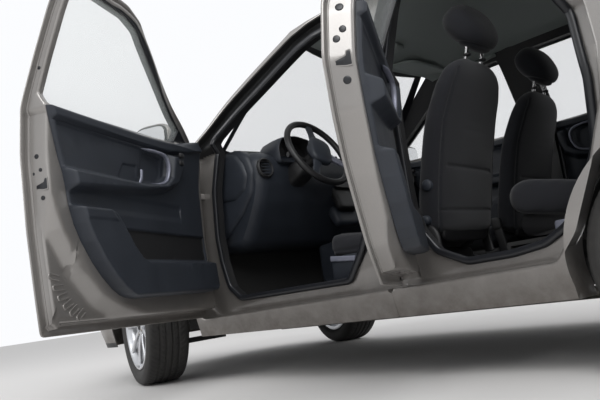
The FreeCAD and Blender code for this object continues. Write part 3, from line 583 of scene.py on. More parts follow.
def swept(path, profile, closed=False, up=(0.0, 0.0, 1.0), scale=None, finish=0):
    """Profile of (side, up) offsets carried along a path, square to it."""
    path = np.asarray(path, float)
    if closed:
        ahead = np.roll(path, -1, 0) - np.roll(path, 1, 0)
    else:
        ahead = np.gradient(path, axis=0)
    ahead /= np.linalg.norm(ahead, axis=1)[:, None] + 1e-12
    side = np.cross(ahead, np.asarray(up, float))
    side /= np.linalg.norm(side, axis=1)[:, None] + 1e-12
    top = np.cross(side, ahead)
    profile = np.asarray(profile, float)
    size = np.ones(len(path)) if scale is None else np.asarray(scale)
    sections = (path[:, None] + size[:, None, None] * (side[:, None] * profile[None, :, :1]
                                                        + top[:, None] * profile[None, :, 1:]))
    if closed:
        return Surface(sections, rows=True, columns=True, finish=finish)
    return rings(sections, finish)


def ellipse(a, b, count=16, power=2.0):
    """Closed profile |u/a|^power + |v/b|^power = 1."""
    t = np.arange(count) * 2 * math.pi / count
    c, s = np.cos(t), np.sin(t)
    return np.stack([a * np.sign(c) * np.abs(c) ** (2 / power),
                     b * np.sign(s) * np.abs(s) ** (2 / power)], -1)


def spun(profile, centre, axis, count=48, finish=0):
    """Profile of (radius, along) pairs turned round an axis through a centre."""
    axis = np.asarray(axis, float) / np.linalg.norm(axis)
    helper = np.array([0.0, 0.0, 1.0]) if abs(axis[2]) < 0.9 else np.array([1.0, 0.0, 0.0])
    u = np.cross(axis, helper)
    u /= np.linalg.norm(u)
    v = np.cross(axis, u)
    t = np.arange(count) * 2 * math.pi / count
    around = np.cos(t)[:, None] * u + np.sin(t)[:, None] * v
    profile = np.asarray(profile, float)
    points = (np.asarray(centre, float) + profile[:, None, :1] * around[None]
              + profile[:, None, 1:] * axis)
    return Surface(points, columns=True, finish=finish)


def soft_box(centre, size, power=5.0, turn=None, rows=14, columns=28, finish=0):
    """Rounded block: |x/a|^p + |y/b|^p + |z/c|^p = 1, by two angles, then turned about Y."""
    lat = np.linspace(-math.pi / 2, math.pi / 2, rows)
    lon = np.arange(columns) * 2 * math.pi / columns

    def bent(value):
        return np.sign(value) * np.abs(value) ** (2 / power)

    cl, sl = bent(np.cos(lat))[:, None], bent(np.sin(lat))[:, None]
    points = np.stack([cl * bent(np.cos(lon)) * size[0] / 2, cl * bent(np.sin(lon)) * size[1] / 2,
                       sl * np.ones(columns) * size[2] / 2], -1)
    if turn:
        points = tilted(points, turn)
    return Surface(points + np.asarray(centre, float), columns=True, finish=finish)


# doors, drawn closed and then swung open about their hinges

DEPTH_Z = [0.0, 1006.0, 1046.0, 2000.0]
DOOR_DEPTH = [74.0, 74.0, 36.0, 36.0]
RECESS_DEPTH = [104.0, 104.0, 50.0, 50.0]
BODY_DEPTH = [140.0, 140.0, 94.0, 94.0]

FRONT_OUTLINE = [
    (-285, 306), (735, 287), (768, 322), (778, 600), (778, 900), (762, 1000),
    (700, 1066), (150, 1396), (60, 1421), (-60, 1428), (-285, 1428)]
REAR_OUTLINE = [
    (-292, 306), (-842, 318), (-905, 392), (-985, 560), (-1045, 720),
    (-1062, 850), (-1052, 980), (-1012, 1100), (-905, 1300), (-815, 1395),
    (-720, 1428), (-292, 1428)]
FRONT_WINDOW = [
    (-240, 1012), (545, 1036), (560, 1092), (122, 1352), (40, 1372), (-240, 1378)]
REAR_WINDOW = [
    (-335, 1012), (-985, 1014), (-955, 1100), (-855, 1285), (-775, 1362),
    (-700, 1378), (-335, 1378)]


def sunk(x, z, depth):
    """Points at a depth below the left side's skin."""
    return np.stack([x, skin_y(x, z) - depth, z], -1)


# across a door's section: inset from its edge, share of the way to the window, fixed depth,
# and share of the door's own depth
DOOR_SECTION = (
    [(0, 1.0, 20, 0), (0, 1.0, 3, 0), (0, 0.985, 0.8, 0)]
    + [(6, share, 0, 0) for share in (0.96, 0.9, 0.82, 0.74, 0.66, 0.58, 0.5, 0.42, 0.34, 0.27,
                                      0.2, 0.14, 0.09, 0.05, 0.02, 0.0)]
    + [(2.5, 0, 0.25, 0), (0.8, 0, 1.1, 0), (0, 0, 2.6, 0), (0, 0, 5.4, 0), (0.8, 0, 6.8, 0),
       (2.5, 0, 7.4, 0), (13, 0, 7.4, 0), (14, 0, 6.8, 0), (25, 0, 6.8, 0), (28, 0, 7.6, 0),
       (30, 0, 10, 0), (31, 0, 14, 0), (32, 0, 7, 0.25), (33, 0, 4, 0.5), (34, 0, 2, 0.7),
       (35, 0, -9, 1), (36.5, 0, -4.5, 1), (39, 0, -1.8, 1), (43, 0, -0.5, 1), (50, 0, 0, 1)]
    + [(50, share, 0, 1) for share in (0.015, 0.03, 0.045, 0.06, 0.075, 0.09, 0.105, 0.12, 0.14,
                                       0.16, 0.18, 0.2, 0.24, 0.3, 0.38, 0.48, 0.6, 0.72, 0.84,
                                       0.93, 0.97)]
    + [(0, 0.99, -1, 1), (0, 1.0, -5, 1), (0, 1.0, 30, 0)])


LAST_OUTSIDE_ROW = 37
FRAME_FOOT = 1035.0
PLUG_RISE = 1.6


class DoorForm:
    """One door: its edge, its window and the section between them, carried all the way round."""

    def __init__(self, outline, window, centre):
        self.edge = rounded_loop(outline, 460, 24)
        self.out = loop_normals(self.edge)
        self.window = seen_from(np.array(centre), window, 18, self.edge)
        width = np.linalg.norm(self.edge - self.window, axis=1)
        self.narrow = np.clip(0.7 * width / 50.0, 0.0, 1.0)

    def line(self, inset, share, depth, own):
        """The section's point at one place, all the way round."""
        flat = self.edge - self.out * (self.narrow * inset)[:, None]
        flat = flat + (self.window - flat) * share
        x, z = flat[:, 0], flat[:, 1]
        return x, z, depth + own * np.interp(z, DEPTH_Z, DOOR_DEPTH)

    def shell(self, relief, black_from):
        """Whole door shell; the relief is taken off the inner face's depth."""
        rows = []
        for inset, share, depth, own in DOOR_SECTION:
            x, z, total = self.line(inset, share, depth, own)
            total = total - own * relief(x, z)
            rows.append(sunk(x, z, total))
        points = np.array(rows)
        section = np.arange(len(rows))
        inner = section > LAST_OUTSIDE_ROW
        dark = np.zeros(points.shape[:2], int)
        near_glass = (section < 2) | (section > len(rows) - 4)
        dark[near_glass] = 1
        frame_part = (points[..., 2] > FRAME_FOOT) & (points[..., 0] > black_from)
        dark[inner[:, None] & frame_part] = 1
        return Surface(points, rows=True, columns=True, finish=dark)

    def bead(self, inset, depth, radius):
        """Round bead of sealant all the way round the edge."""
        x, z, total = self.line(inset, 0.0, depth, 0.0)
        return swept(sunk(x, z, total), ellipse(radius, radius, 8), closed=True, up=(0, 1, 0))

    def shut_face(self, z, share):
        """Place and outward direction on the trailing face at a height and a share of its depth."""
        trailing = self.edge[:, 0] < self.edge[:, 0].mean() - 150
        index = np.where(trailing)[0][np.argmin(np.abs(self.edge[trailing, 1] - z))]
        out = self.out[index]
        spot = self.edge[index] - out * self.narrow[index] * 33.0
        depth = 8 + share * (np.interp(z, DEPTH_Z, DOOR_DEPTH) - 12)
        place = sunk(spot[0], spot[1], depth)
        return place, np.array([out[0], 0.0, out[1]])


FRONT_DOOR = DoorForm(FRONT_OUTLINE, FRONT_WINDOW, (170.0, 1180.0))
REAR_DOOR = DoorForm(REAR_OUTLINE, REAR_WINDOW, (-640.0, 1180.0))

RAISED_FRONT = [(-400, 1500), (-400, 760), (-262, 720), (-228, 620), (-150, 490), (-60, 396),
                (40, 352), (160, 318), (300, 270), (900, 270), (900, 1500)]
RAISED_REAR = [(-1200, 1500), (-1200, 900), (-1060, 760), (-985, 620), (-900, 470), (-820, 392),
               (-740, 352), (-640, 322), (-500, 270), (-200, 270), (-200, 1500)]
RAISED_BY = 40.0
REAR_RAISED_SHARE = 0.6
RELIEF_WIDTH = 60.0
# middle of each stamped rib in (x, z) and its slope in degrees; a rib's outline along and across
FRONT_RIBS = [(-228, 480, -12), (-216, 447, 2), (-201, 419, 12), (-183, 394, 22), (-159, 374, 28),
              (-130, 359, 32)]
RIB_OUTLINE = ((22, -8), (0, -8), (-20, -7), (-24, 0), (-20, 7), (0, 8), (22, 8))


def front_relief(x, z):
    """How far the front door's inner panel falls away round its lower trailing corner."""
    return RAISED_BY * step(-inside(x, z, RAISED_FRONT), RELIEF_WIDTH)


def rear_relief(x, z):
    """How far the rear door's inner panel falls away over the wheel arch."""
    return REAR_RAISED_SHARE * RAISED_BY * step(-inside(x, z, RAISED_REAR), RELIEF_WIDTH)


def stamped_ribs():
    """Outlines of the ribs in the front door's corner, each a bead open at its front end."""
    beads = []
    for x, z, slope in FRONT_RIBS:
        a = math.radians(slope)
        along, across = np.array([math.cos(a), math.sin(a)]), np.array([-math.sin(a), math.cos(a)])
        flat = np.array([np.array([x, z]) + u * along + v * across for u, v in RIB_OUTLINE])
        path = spline(flat, 30)
        depth = 75.0 - front_relief(path[:, 0], path[:, 1])
        beads.append(swept(sunk(path[:, 0], path[:, 1], depth), ellipse(2.6, 2.6, 8), up=(0, 1, 0)))
    return beads


def swing(side, hinge, degrees):
    """Movement of a closed left piece to its place: the left one swung open, the right one mirrored."""
    if side > 0:
        return lambda points: turn_about(points, hinge, degrees)
    return mirror


def plug_on(place, out, radius):
    """Low rounded plug on a face, dark."""
    rise = PLUG_RISE
    profile = [(POLE, rise), (radius * 0.7, rise), (radius * 0.9, rise * 0.7), (radius, 0.1),
               (radius, -1.0), (POLE, -1.0)]
    return spun(profile, place, out, 24, 1)


def hinge_pair(hinge):
    """Barrels and leaves of a door's two hinges on the door side."""
    pieces = []
    for z in HINGE_HEIGHTS:
        for z0 in (z - 28.5, z + 14.5):
            pieces.append(spun([(POLE, 0), (6, 0), (7, 1), (7, 13), (6, 14), (POLE, 14)],
                               (hinge[0], hinge[1], z0), (0, 0, 1), 20))
            pieces.append(soft_box((hinge[0] - 11, hinge[1], z0 + 7), (24, 10, 14), 8.0))
    return pieces


DOORS = (
    # name, form, hinge, left opening, relief, black from, height of the lock, lock's share, plugs
    ("front", FRONT_DOOR, FRONT_HINGE, LEFT_FRONT_OPEN, front_relief, -185.0, 758.0, 0.66,
     [(850, 0.45, 8), (807, 0.62, 6), (800, 0.2, 6), (718, 0.62, 7), (1120, 0.4, 6)]),
    ("rear", REAR_DOOR, REAR_HINGE, LEFT_REAR_OPEN, rear_relief, -960.0, 835.0, 0.62,
     [(990, 0.5, 11), (930, 0.62, 9), (905, 0.36, 10), (792, 0.62, 10), (1010, 0.04, 6),
      (950, 0.04, 6)]),
)


def lock_slot(form, z, share):
    """Wedge-shaped mouth of the lock: a shallow black cap, for the black latch inside and as painted shade
    of the slot's depth, with a lip, widening towards the inner face.
    """
    place, out = form.shut_face(z, share)
    up = np.array([0.0, 0.0, 1.0]) - out * out[2]
    up /= np.linalg.norm(up)
    back = np.cross(out, up)
    back *= -np.sign(back[1])
    corners = rounded_loop([(-22, -4), (-22, 5), (6, 13), (10, 24), (18, 24), (18, -9), (4, -9)], 60, 4)
    lip = rounded_loop([(-25, -7), (-25, 8), (4, 16), (8, 27), (20, 27), (20, -12), (4, -12)], 60, 4)

    def ring(outline, height):
        return place + outline[:, :1] * back + outline[:, 1:] * up + out * height

    # black cap about 2 mm deep: the latch's own black, and painted shade of the slot's depth
    dark = rings([ring(corners * 0.97, 0.9), ring(corners, 0.7), ring(corners, -2.0)], 1)
    edge = Surface([ring(lip, -1.0), ring(lip, 0.4), ring(lip * 0.98, 1.0), ring(corners, 1.0),
                    ring(corners, -1.0)], rows=True, columns=True)
    return [edge, dark]


class CAR_OT_doors(bpy.types.Operator):
    """Four door shells with hems, shut faces, locks, plugs, beads and hinges."""

    bl_idname = "car.doors"
    bl_label = "Doors"

    def execute(self, context):
        for name, form, hinge, opening, relief, black_from, lock_z, lock_share, plugs in DOORS:
            shell = form.shell(relief, black_from)
            details = [form.bead(30.5, 11.0, 3.0)] + lock_slot(form, lock_z, lock_share)
            for z, share, radius in plugs:
                place, out = form.shut_face(z, share)
                if share < 0.1:
                    place = place + np.array([-22.0, 5.0, 0.0])
                    out = np.array([0.0, -1.0, 0.0])
                details.append(plug_on(place, out, radius))
            details += hinge_pair(hinge)
            if name == "front":
                details += stamped_ribs()
            for side, word in ((1, "left"), (-1, "right")):
                move = swing(side, hinge, opening)
                surfaces = [surface.moved(move) for surface in [shell] + details]
                mesh_piece(f"{name}_door_shell_{word}", surfaces, ["body_paint", "seal_rubber"],
                           f"{name}_door_{word}_body", f"{name}_door_{word}")
        return {"FINISHED"}


# door trims: a height above the inner panel at every place of the trim


class TrimForm:
    """Trim filled in between a left and a right edge at each height, under a top line."""

    def __init__(self, low, high, left, right, top, height, mouth):
        self.low, self.high = low, high
        self.left, self.right, self.top = left, right, top
        self.height = height
        self.mouth = mouth

    def surface(self, rows, columns):
        v = np.linspace(0, 1, rows)[:, None]
        u = np.linspace(0, 1, columns)[None, :]
        nominal = self.low + v * (self.high - self.low)
        start = np.interp(nominal, *zip(*self.left))
        end = np.interp(nominal, *zip(*self.right))
        x = start + u * (end - start)
        z = self.low + v * (np.interp(x, *zip(*self.top)) - self.low)
        width, tall = end - start, self.high - self.low
        margin = np.minimum(np.minimum(u, 1 - u) * width, np.minimum(v, 1 - v) * tall)
        fall = 1 - np.clip(1 - margin / 12.0, 0, 1) ** 2
        base = np.interp(z, DEPTH_Z, DOOR_DEPTH) + 0.4
        front = sunk(x, z, base + self.height(x, z) * np.sqrt(fall) + 0.6)
        back = sunk(x, z, base)
        dark = np.zeros((rows + 1, 2 * columns), int)
        # faces inside the pocket's mouth take black plastic: painted shade inside the pocket
        dark[1:rows, :columns - 1] = 2 * (inside(x, z, self.mouth) > 3)[:-1, :-1]
        return plate(front, back, dark)


# pocket mouths: sunk by the relief, and black as painted shade inside the pockets
FRONT_MOUTH = [(74, 638), (690, 630), (690, 527), (176, 527), (142, 543), (106, 586)]
REAR_MOUTH = [(-770, 636), (-372, 636), (-372, 532), (-690, 532)]


def front_trim_height(x, z):
    """Front trim: rolled top, sunk panel, armrest ledge, map pocket with its mouth."""
    h = np.full(x.shape, 12.0)
    h += 15.0 * step(z - np.interp(x, [-300, 400, 560, 700], [966, 966, 985, 1010]), 12)
    h -= 5.0 * step(5 - np.abs(z - np.interp(x, [-300, 420, 560], [966, 966, 975])), 5) * (x < 560)
    h -= 7.0 * step(inside(x, z, [(-222, 955), (-176, 822), (250, 822), (410, 842), (430, 955)]), 10)
    h -= 5.0 * step(inside(x, z, [(262, 940), (236, 846), (275, 832), (360, 836), (392, 872),
                                  (394, 936)]), 12)
    h -= 5.0 * step(inside(x, z, [(104, 822), (140, 880), (226, 884), (226, 822)]), 9)
    armrest = [(-200, 812), (240, 814), (372, 830), (424, 866), (440, 955), (520, 955), (512, 900),
               (474, 836), (388, 806), (290, 790), (210, 780), (-165, 752), (-210, 752)]
    h += 38.0 * step(inside(x, z, armrest), 26)
    h -= 5.0 * step(z - 695, 30) * step(752 - z, 24) * (x < 520)
    pocket = [(-240, 694), (-22, 697), (14, 684), (46, 650), (100, 572), (134, 536), (170, 521),
              (760, 519), (760, 360), (-240, 360)]
    h += 42.0 * step(inside(x, z, pocket), 18)
    h += 3.0 * step(inside(x, z, [(-240, 686), (-22, 689), (8, 656), (-240, 651)]), 12)
    h -= 8.0 * step(inside(x, z, FRONT_MOUTH), 12)
    return np.maximum(h, 1.0)


def rear_trim_height(x, z):
    """Rear trim: the same features, shorter, with a deep pull above the pocket."""
    h = np.full(x.shape, 12.0)
    h += 15.0 * step(z - 966, 12)
    h -= 5.0 * step(5 - np.abs(z - 966), 5)
    h -= 7.0 * step(inside(x, z, [(-948, 955), (-958, 822), (-560, 822), (-440, 842), (-430, 955)]),
                    10)
    h -= 5.0 * step(inside(x, z, [(-560, 948), (-590, 852), (-560, 838), (-480, 842), (-448, 880),
                                  (-448, 945)]), 12)
    armrest = [(-975, 812), (-560, 816), (-470, 836), (-425, 872), (-412, 955), (-372, 955),
               (-372, 905), (-395, 842), (-450, 806), (-560, 786), (-970, 752)]
    h += 38.0 * step(inside(x, z, armrest), 26)
    pocket = [(-1000, 640), (-860, 640), (-800, 600), (-740, 540), (-700, 526), (-330, 524),
              (-330, 360), (-1000, 360)]
    h += 36.0 * step(inside(x, z, pocket), 18)
    h -= 8.0 * step(inside(x, z, REAR_MOUTH), 12)
    return np.maximum(h, 1.0)


FRONT_TRIM = TrimForm(
    392, 1003,
    [(392, 100), (398, 60), (408, 30), (430, -5), (470, -50), (520, -92), (580, -130), (640, -158),
     (700, -175), (760, -182), (800, -188), (860, -208), (1003, -258)],
    [(392, 650), (398, 685), (410, 700), (425, 705), (1003, 705)],
    [(-260, 1004), (300, 1006), (430, 1012), (520, 1022), (600, 1044), (680, 1058), (720, 1060)],
    front_trim_height, FRONT_MOUTH)
REAR_TRIM = TrimForm(
    396, 1003,
    [(396, -760), (405, -790), (425, -826), (450, -850), (510, -892), (570, -925), (640, -952),
     (720, -978), (790, -992), (850, -996), (930, -990), (1003, -985)],
    [(396, -400), (402, -376), (415, -364), (440, -358), (1003, -358)],
    [(-1000, 1004), (-300, 1004)], rear_trim_height, REAR_MOUTH)


# form, rows, columns, line of the pull, place of the lever, places of the switches
TRIMS = {
    "front": (FRONT_TRIM, 190, 230, [(236, 950), (330, 951), (388, 944), (412, 918), (414, 880),
                                     (394, 842), (330, 822), (246, 812)], 232, (957, 926)),
    "rear": (REAR_TRIM, 170, 170, [(-600, 962), (-520, 962), (-462, 952), (-440, 925), (-442, 885),
                                   (-466, 846), (-530, 828), (-600, 820)], -596, ()),
}


def on_trim(path, rise):
    """Places at a height above a door's inner panel, from (x, z) pairs."""
    path = np.asarray(path, float)
    x, z = path[:, 0], path[:, 1]
    return sunk(x, z, np.interp(z, DEPTH_Z, DOOR_DEPTH) + rise)


def pull_frame(curve):
    """Flattened bright band round the pull, along a smooth curve."""
    flat = spline(curve, 60)
    rise = 22 + 12 * np.sin(np.linspace(0, math.pi, 60))
    ends = np.minimum(1.0, np.minimum(np.arange(60), np.arange(60)[::-1]) / 5.0 + 0.15)
    return swept(on_trim(flat, rise), ellipse(5.5, 9, 20, 2.6), up=(0, 1, 0), scale=ends, finish=1)


class CAR_OT_trims(bpy.types.Operator):
    """Door trims with pull frames, release levers and switches."""

    bl_idname = "car.trims"
    bl_label = "Door trims"

    def execute(self, context):
        for (name, values), door in zip(TRIMS.items(), DOORS):
            form, rows, columns, pull, lever_x, switches = values
            lever = on_trim([(lever_x - 12, 812), (lever_x - 2, 835), (lever_x + 6, 868)],
                            [20, 25, 22])
            pieces = [form.surface(rows, columns), pull_frame(pull),
                      swept(lever, ellipse(7, 4, 12), up=(0, 1, 0), finish=1)]
            for z in switches:
                place = on_trim([(486, z)], 52)[0]
                pieces.append(soft_box(place, (34, 14, 20), 4.0, finish=2))
            for side, word in ((1, "left"), (-1, "right")):
                move = swing(side, door[2], door[3])
                mesh_piece(f"{name}_door_trim_{word}", [p.moved(move) for p in pieces],
                           ["interior_plastic", "silver_trim", "black_plastic"],
                           f"{name}_door_{word}_body", f"{name}_trim_{word}", smooth=50)
        return {"FINISHED"}


# body sides: the frame round each door opening, then skin out to the panel's edge

FRONT_APERTURE = [
    (-50, 352), (560, 350), (624, 404), (646, 510), (652, 630), (642, 815), (612, 1000), (596, 1064),
    (120, 1342), (40, 1366), (-215, 1370), (-225, 1000), (-212, 600), (-125, 450)]
REAR_APERTURE = [
    (-540, 356), (-690, 358), (-790, 372), (-862, 410), (-935, 500), (-987, 615),
    (-1003, 800), (-990, 990), (-950, 1100), (-855, 1275), (-780, 1345),
    (-700, 1368), (-370, 1370), (-374, 1000), (-372, 560), (-392, 478), (-440, 404)]
PILLAR_X = -290.0
BELT_HEIGHT = 1010.0
AXLE_X = 1225.5
AXLE_Z = 295.0
ARCH_RADIUS = 352.0


def arch(start, end, axle_x, count=24):
    """Points of a wheel arch between two angles in degrees, measured from straight ahead."""
    a = np.radians(np.linspace(start, end, count))
    return [(axle_x + ARCH_RADIUS * c, AXLE_Z + ARCH_RADIUS * s) for c, s in zip(np.cos(a), np.sin(a))]


FRONT_CELL = [(784, 205), (784, 1040), (560, 1178), (160, 1432), (60, 1440), (-290, 1440), (-290, 205)]
REAR_CELL = ([(-290, 205)] + arch(-14.8, 90, -AXLE_X)
             + [(-1791, 647), (-1784, 900), (-1775, 1000), (-1705, 1080), (-1535, 1300),
                (-1423, 1437), (-290, 1440)])

# across a body cell: which loops it lies between (0 opening, 1 recess, 2 panel edge), share,
# outward offset, fixed depth, share of the recess depth, share of the body depth
CELL_SECTION = (
    [(0, 0, 0, 0, 0, 1), (0, 0, 0, 8, 1, 0), (0, 0, 1, 2.5, 1, 0), (0, 0, 4, 0.3, 1, 0)]
    + [(0, share, 4, 0, 1, 0) for share in (0.1, 0.25, 0.4, 0.55, 0.7, 0.85)]
    + [(1, 0, -8, -0.8, 1, 0), (1, 0, -3, -4, 1, 0), (1, 0, -0.6, -10, 1, 0), (1, 0, 0, 0, 0.75, 0),
       (1, 0, 0, 0, 0.5, 0), (1, 0, 0, 0, 0.25, 0), (1, 0, 0, 10, 0, 0), (1, 0, 0.5, 6, 0, 0),
       (1, 0, 1.8, 2.4, 0, 0), (1, 0, 4.5, 0.5, 0, 0), (1, 0, 9, 0, 0, 0)]
    + [(1, share, 9, 0, 0, 0) for share in (0.05, 0.1, 0.16, 0.24, 0.33, 0.43, 0.54, 0.66, 0.78,
                                            0.88, 0.95, 0.985)]
    + [(2, 0, 0, 1.2, 0, 0), (2, 0, 0, 14, 0, 0), (2, 0, 0, 0, 0, 1)])


class BodyCell:
    """Opening, recess and outer skin of one door's share of the body side."""

    def __init__(self, outline, aperture, boundary, centre, pillar_side):
        centre = np.array(centre)
        edge = rounded_loop(outline, 560, 24)
        self.out = loop_normals(edge)
        self.recess = edge + self.out * 6.0
        self.opening = seen_from(centre, aperture, 26, self.recess)
        self.bound = seen_from(centre, boundary, 3, self.recess)
        self.pillar_side = pillar_side

    def surface(self, black_from):
        """The cell's sheet; its walls, its back and the frame ahead of a place are black."""
        loops = [self.opening, self.recess, self.bound, self.bound]
        at_pillar = np.abs(self.recess[:, 0] - PILLAR_X) < 9
        rows, dark = [], []
        for first, share, offset, fixed, of_recess, of_body in CELL_SECTION:
            start = loops[first] + self.out * (offset if first < 2 else 0)
            flat = start + (loops[first + 1] - start) * share
            x, z = flat[:, 0].copy(), flat[:, 1]
            recess_depth = np.interp(z, DEPTH_Z, RECESS_DEPTH)
            depth = fixed + of_recess * recess_depth + of_body * np.interp(z, DEPTH_Z, BODY_DEPTH)
            beyond = (PILLAR_X - x) * self.pillar_side > 0
            held = beyond | (at_pillar & (first >= 1))
            x[held] = PILLAR_X
            if not of_body:
                depth = np.where(at_pillar & (first >= 1), recess_depth, depth)
            rows.append(sunk(x, z, depth))
            wall = first == 0 and share == 0
            frame_part = (z > BELT_HEIGHT) & (x > black_from) & (first == 0 or of_recess > 0)
            dark.append(wall | frame_part | (of_body > 0))
        return Surface(np.array(rows), rows=True, columns=True, finish=np.array(dark).astype(int))

    def seal(self):
        """Thick bulb of rubber round the opening, standing off the recess floor."""
        normal = loop_normals(self.opening)
        flat = self.opening + normal * 3.0
        x, z = flat[:, 0], flat[:, 1]
        depth = np.interp(z, DEPTH_Z, RECESS_DEPTH) - 8.0
        return swept(sunk(x, z, depth), ellipse(13, 8.5, 16, 2.2), closed=True, up=(0, 1, 0))


FRONT_BODY = BodyCell(FRONT_OUTLINE, FRONT_APERTURE, FRONT_CELL, (200.0, 860.0), 1)
REAR_BODY = BodyCell(REAR_OUTLINE, REAR_APERTURE, REAR_CELL, (-690.0, 860.0), -1)


def quarter_foot():
    """Skin between the rear wheel arch and the rear bumper."""
    z = np.linspace(380, 646.9, 20)[:, None]
    front = -AXLE_X - np.sqrt(ARCH_RADIUS ** 2 - (z - AXLE_Z) ** 2)
    back = np.interp(z, [380, 410, 598, 599, 650], [-1583, -1585, -1672, -1790, -1791])
    x = front + (back - front) * np.linspace(0, 1, 14)[None]
    z = z + 0 * x
    return plate(sunk(x, z, 0.3), sunk(x, z, 30.0))


def pillar_hinges(hinge):
    """Middle barrel of each hinge with its bracket on the pillar."""
    pieces = []
    for z in HINGE_HEIGHTS:
        pieces.append(spun([(POLE, -14), (6, -14), (7, -13), (7, 13), (6, 14), (POLE, 14)],
                           (hinge[0], hinge[1], z), (0, 0, 1), 20))
        inner = float(skin_y(np.array(hinge[0]), np.array(z))) - 108
        pieces.append(soft_box((hinge[0], (inner + hinge[1]) / 2, z), (12, hinge[1] - inner, 26), 8.0))
    return pieces


class CAR_OT_body_sides(bpy.types.Operator):
    """Sills, pillars, rails and rear quarters with their door recesses."""

    bl_idname = "car.body_sides"
    bl_label = "Body sides"

    def execute(self, context):
        surfaces = [FRONT_BODY.surface(-200), REAR_BODY.surface(-960), quarter_foot()]
        surfaces += pillar_hinges(FRONT_HINGE) + pillar_hinges(REAR_HINGE)
        for word, move in (("left", lambda points: points), ("right", mirror)):
            mesh_piece(f"body_side_skin_{word}", [s.moved(move) for s in surfaces],
                       ["body_paint", "black_plastic"], "car_body", f"body_side_{word}")
        seals = [FRONT_BODY.seal(), REAR_BODY.seal()]
        mesh_piece("door_seal_bulbs", seals + [s.moved(mirror) for s in seals], ["seal_rubber"],
                   "car_body", "door_seals")
        return {"FINISHED"}


# seats

SEAT_Y = 365.0
# distance that stands for no seam near
NO_SEAM = 99.0
PIN_REACH = 9.0
SEAM_WIDTH = 4.5
CLOTH_FRAMES = 20
CLOTH_SETTINGS = {
    "use_pressure": True, "pin_stiffness": 1.0, "quality": 5, "tension_stiffness": 25,
    "compression_stiffness": 12, "shear_stiffness": 8, "bending_stiffness": 1.5,
}


def cushion_rings(centre, forward, half, front, back, hollow):
    """Padded form carried along a line of centres.

    Each ring is a rounded rectangle, half wide in Y and from -back to +front along forward;
    its front is drawn in at the middle by hollow, so that the sides stand up as bolsters.
    """
    profile = ellipse(1.0, 1.0, 56, 3.6)
    side, ahead = profile[:, 0], profile[:, 1]
    centre, forward = np.asarray(centre, float), np.asarray(forward, float)
    half, front, back, hollow = (np.asarray(v, float)[:, None] for v in (half, front, back, hollow))
    reach = np.where(ahead[None] > 0, ahead[None] * front, ahead[None] * back)
    reach = reach - hollow * np.clip(ahead[None], 0, 1) * (1 - np.abs(side[None]) ** 2.6)
    points = (centre[:, None] + reach[..., None] * forward[:, None]
              + (half * side[None])[..., None] * np.array([0.0, 1.0, 0.0]))
    return rings(points)


def rounded_ends(count, start, end):
    """Sizes of rings along a form: 1 in the middle, falling as a quarter circle at each end."""
    t = np.linspace(0, 1, count)
    near, far = (np.sqrt(np.clip(1 - (1 - np.clip(way, 0, 1)) ** 2, 0.02, 1))
                 for way in (t / start, (1 - t) / end))
    return near * far


def mesh_points(mesh, key="co"):
    """Vertex places or normals of a mesh as an array in millimetres or unit lengths."""
    values = np.empty(len(mesh.vertices) * 3)
    if key == "co":
        mesh.vertices.foreach_get("co", values)
        return values.reshape(-1, 3) / MM
    mesh.vertex_normals.foreach_get("vector", values)
    return values.reshape(-1, 3)


def place_points(mesh, points):
    """Puts a mesh's vertices at places in millimetres."""
    mesh.vertices.foreach_set("co", (points * MM).ravel())
    mesh.update()


def blown_up(piece, held, pressure):
    """Vertex places of a piece after a cloth simulation with pressure, pinned where it is held."""
    group = piece.vertex_groups.new(name="seams")
    for weight, near in ((1.0, held > 0.55), (0.5, (held > 0.2) & (held <= 0.55))):
        group.add(np.where(near)[0].tolist(), weight, "REPLACE")
    cloth = piece.modifiers.new("padding", "CLOTH")
    for setting, value in CLOTH_SETTINGS.items():
        setattr(cloth.settings, setting, value)
    cloth.settings.uniform_pressure_force = pressure
    cloth.settings.effector_weights.gravity = 0
    cloth.settings.vertex_group_mass = "seams"
    cloth.point_cache.frame_start = 1
    cloth.point_cache.frame_end = CLOTH_FRAMES
    scene = bpy.context.scene
    for moment in range(1, CLOTH_FRAMES + 1):
        scene.frame_set(moment)
    blown = evaluated(piece)
    piece.modifiers.remove(cloth)
    scene.frame_set(1)
    places = mesh_points(blown)
    bpy.data.meshes.remove(blown)
    return places


def upholstered(name, surface, seams, voxel=11.0, swell=24.0, pressure=4.0):
    """Padded form as cloth: an even mesh, blown up between its seams, the seams then drawn in.

    seams gives the distance in millimetres of each point to the nearest seam.
    """
    piece = mesh_piece(name, [surface], ["seat_fabric"], "car_body", smooth=180)
    even = piece.modifiers.new("even", "REMESH")
    even.mode = "VOXEL"
    even.voxel_size = voxel * MM
    start = evaluated(piece)
    piece.modifiers.remove(even)
    piece.data = start
    before = mesh_points(start)
    held = np.exp(-(seams(before) / PIN_REACH) ** 2)
    moved = blown_up(piece, held, pressure) - before
    length = np.linalg.norm(moved, axis=1)[:, None]
    moved = moved * np.minimum(1.0, swell / np.maximum(length, NO_LENGTH))
    place_points(start, before + moved)
    finer = piece.modifiers.new("finer", "SUBSURF")
    finer.levels = finer.render_levels = 1
    smooth = evaluated(piece)
    piece.modifiers.remove(finer)
    piece.data = smooth
    places = mesh_points(smooth)
    drawn_in = SEAM_WIDTH * np.exp(-(seams(places) / SEAM_WIDTH) ** 2)
    places = places - mesh_points(smooth, "normal") * drawn_in[:, None]
    shade_smooth(smooth)
    smooth.materials.clear()
    smooth.materials.append(FINISHES["seat_fabric"])
    place_points(smooth, places)
    shade_smooth(thinned(piece, CLOTH_SHARE))
    return piece


def copied(piece, name, change):
    """The same padded piece in another place."""
    mesh = piece.data.copy()
    if np.linalg.det(change(np.eye(3)) - change(np.zeros((3, 3)))) < 0:
        mesh.flip_normals()
    place_points(mesh, change(mesh_points(mesh)))
    twin = bpy.data.objects.new(name, mesh)
    bpy.context.scene.collection.objects.link(twin)
    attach(twin, "car_body")


def nearest(*distances):
    """Smallest of several distances, never below nothing."""
    return np.min(np.abs(np.stack(distances)), axis=0)


# front seats, drawn about their own middle and with the back's foot at x = 0

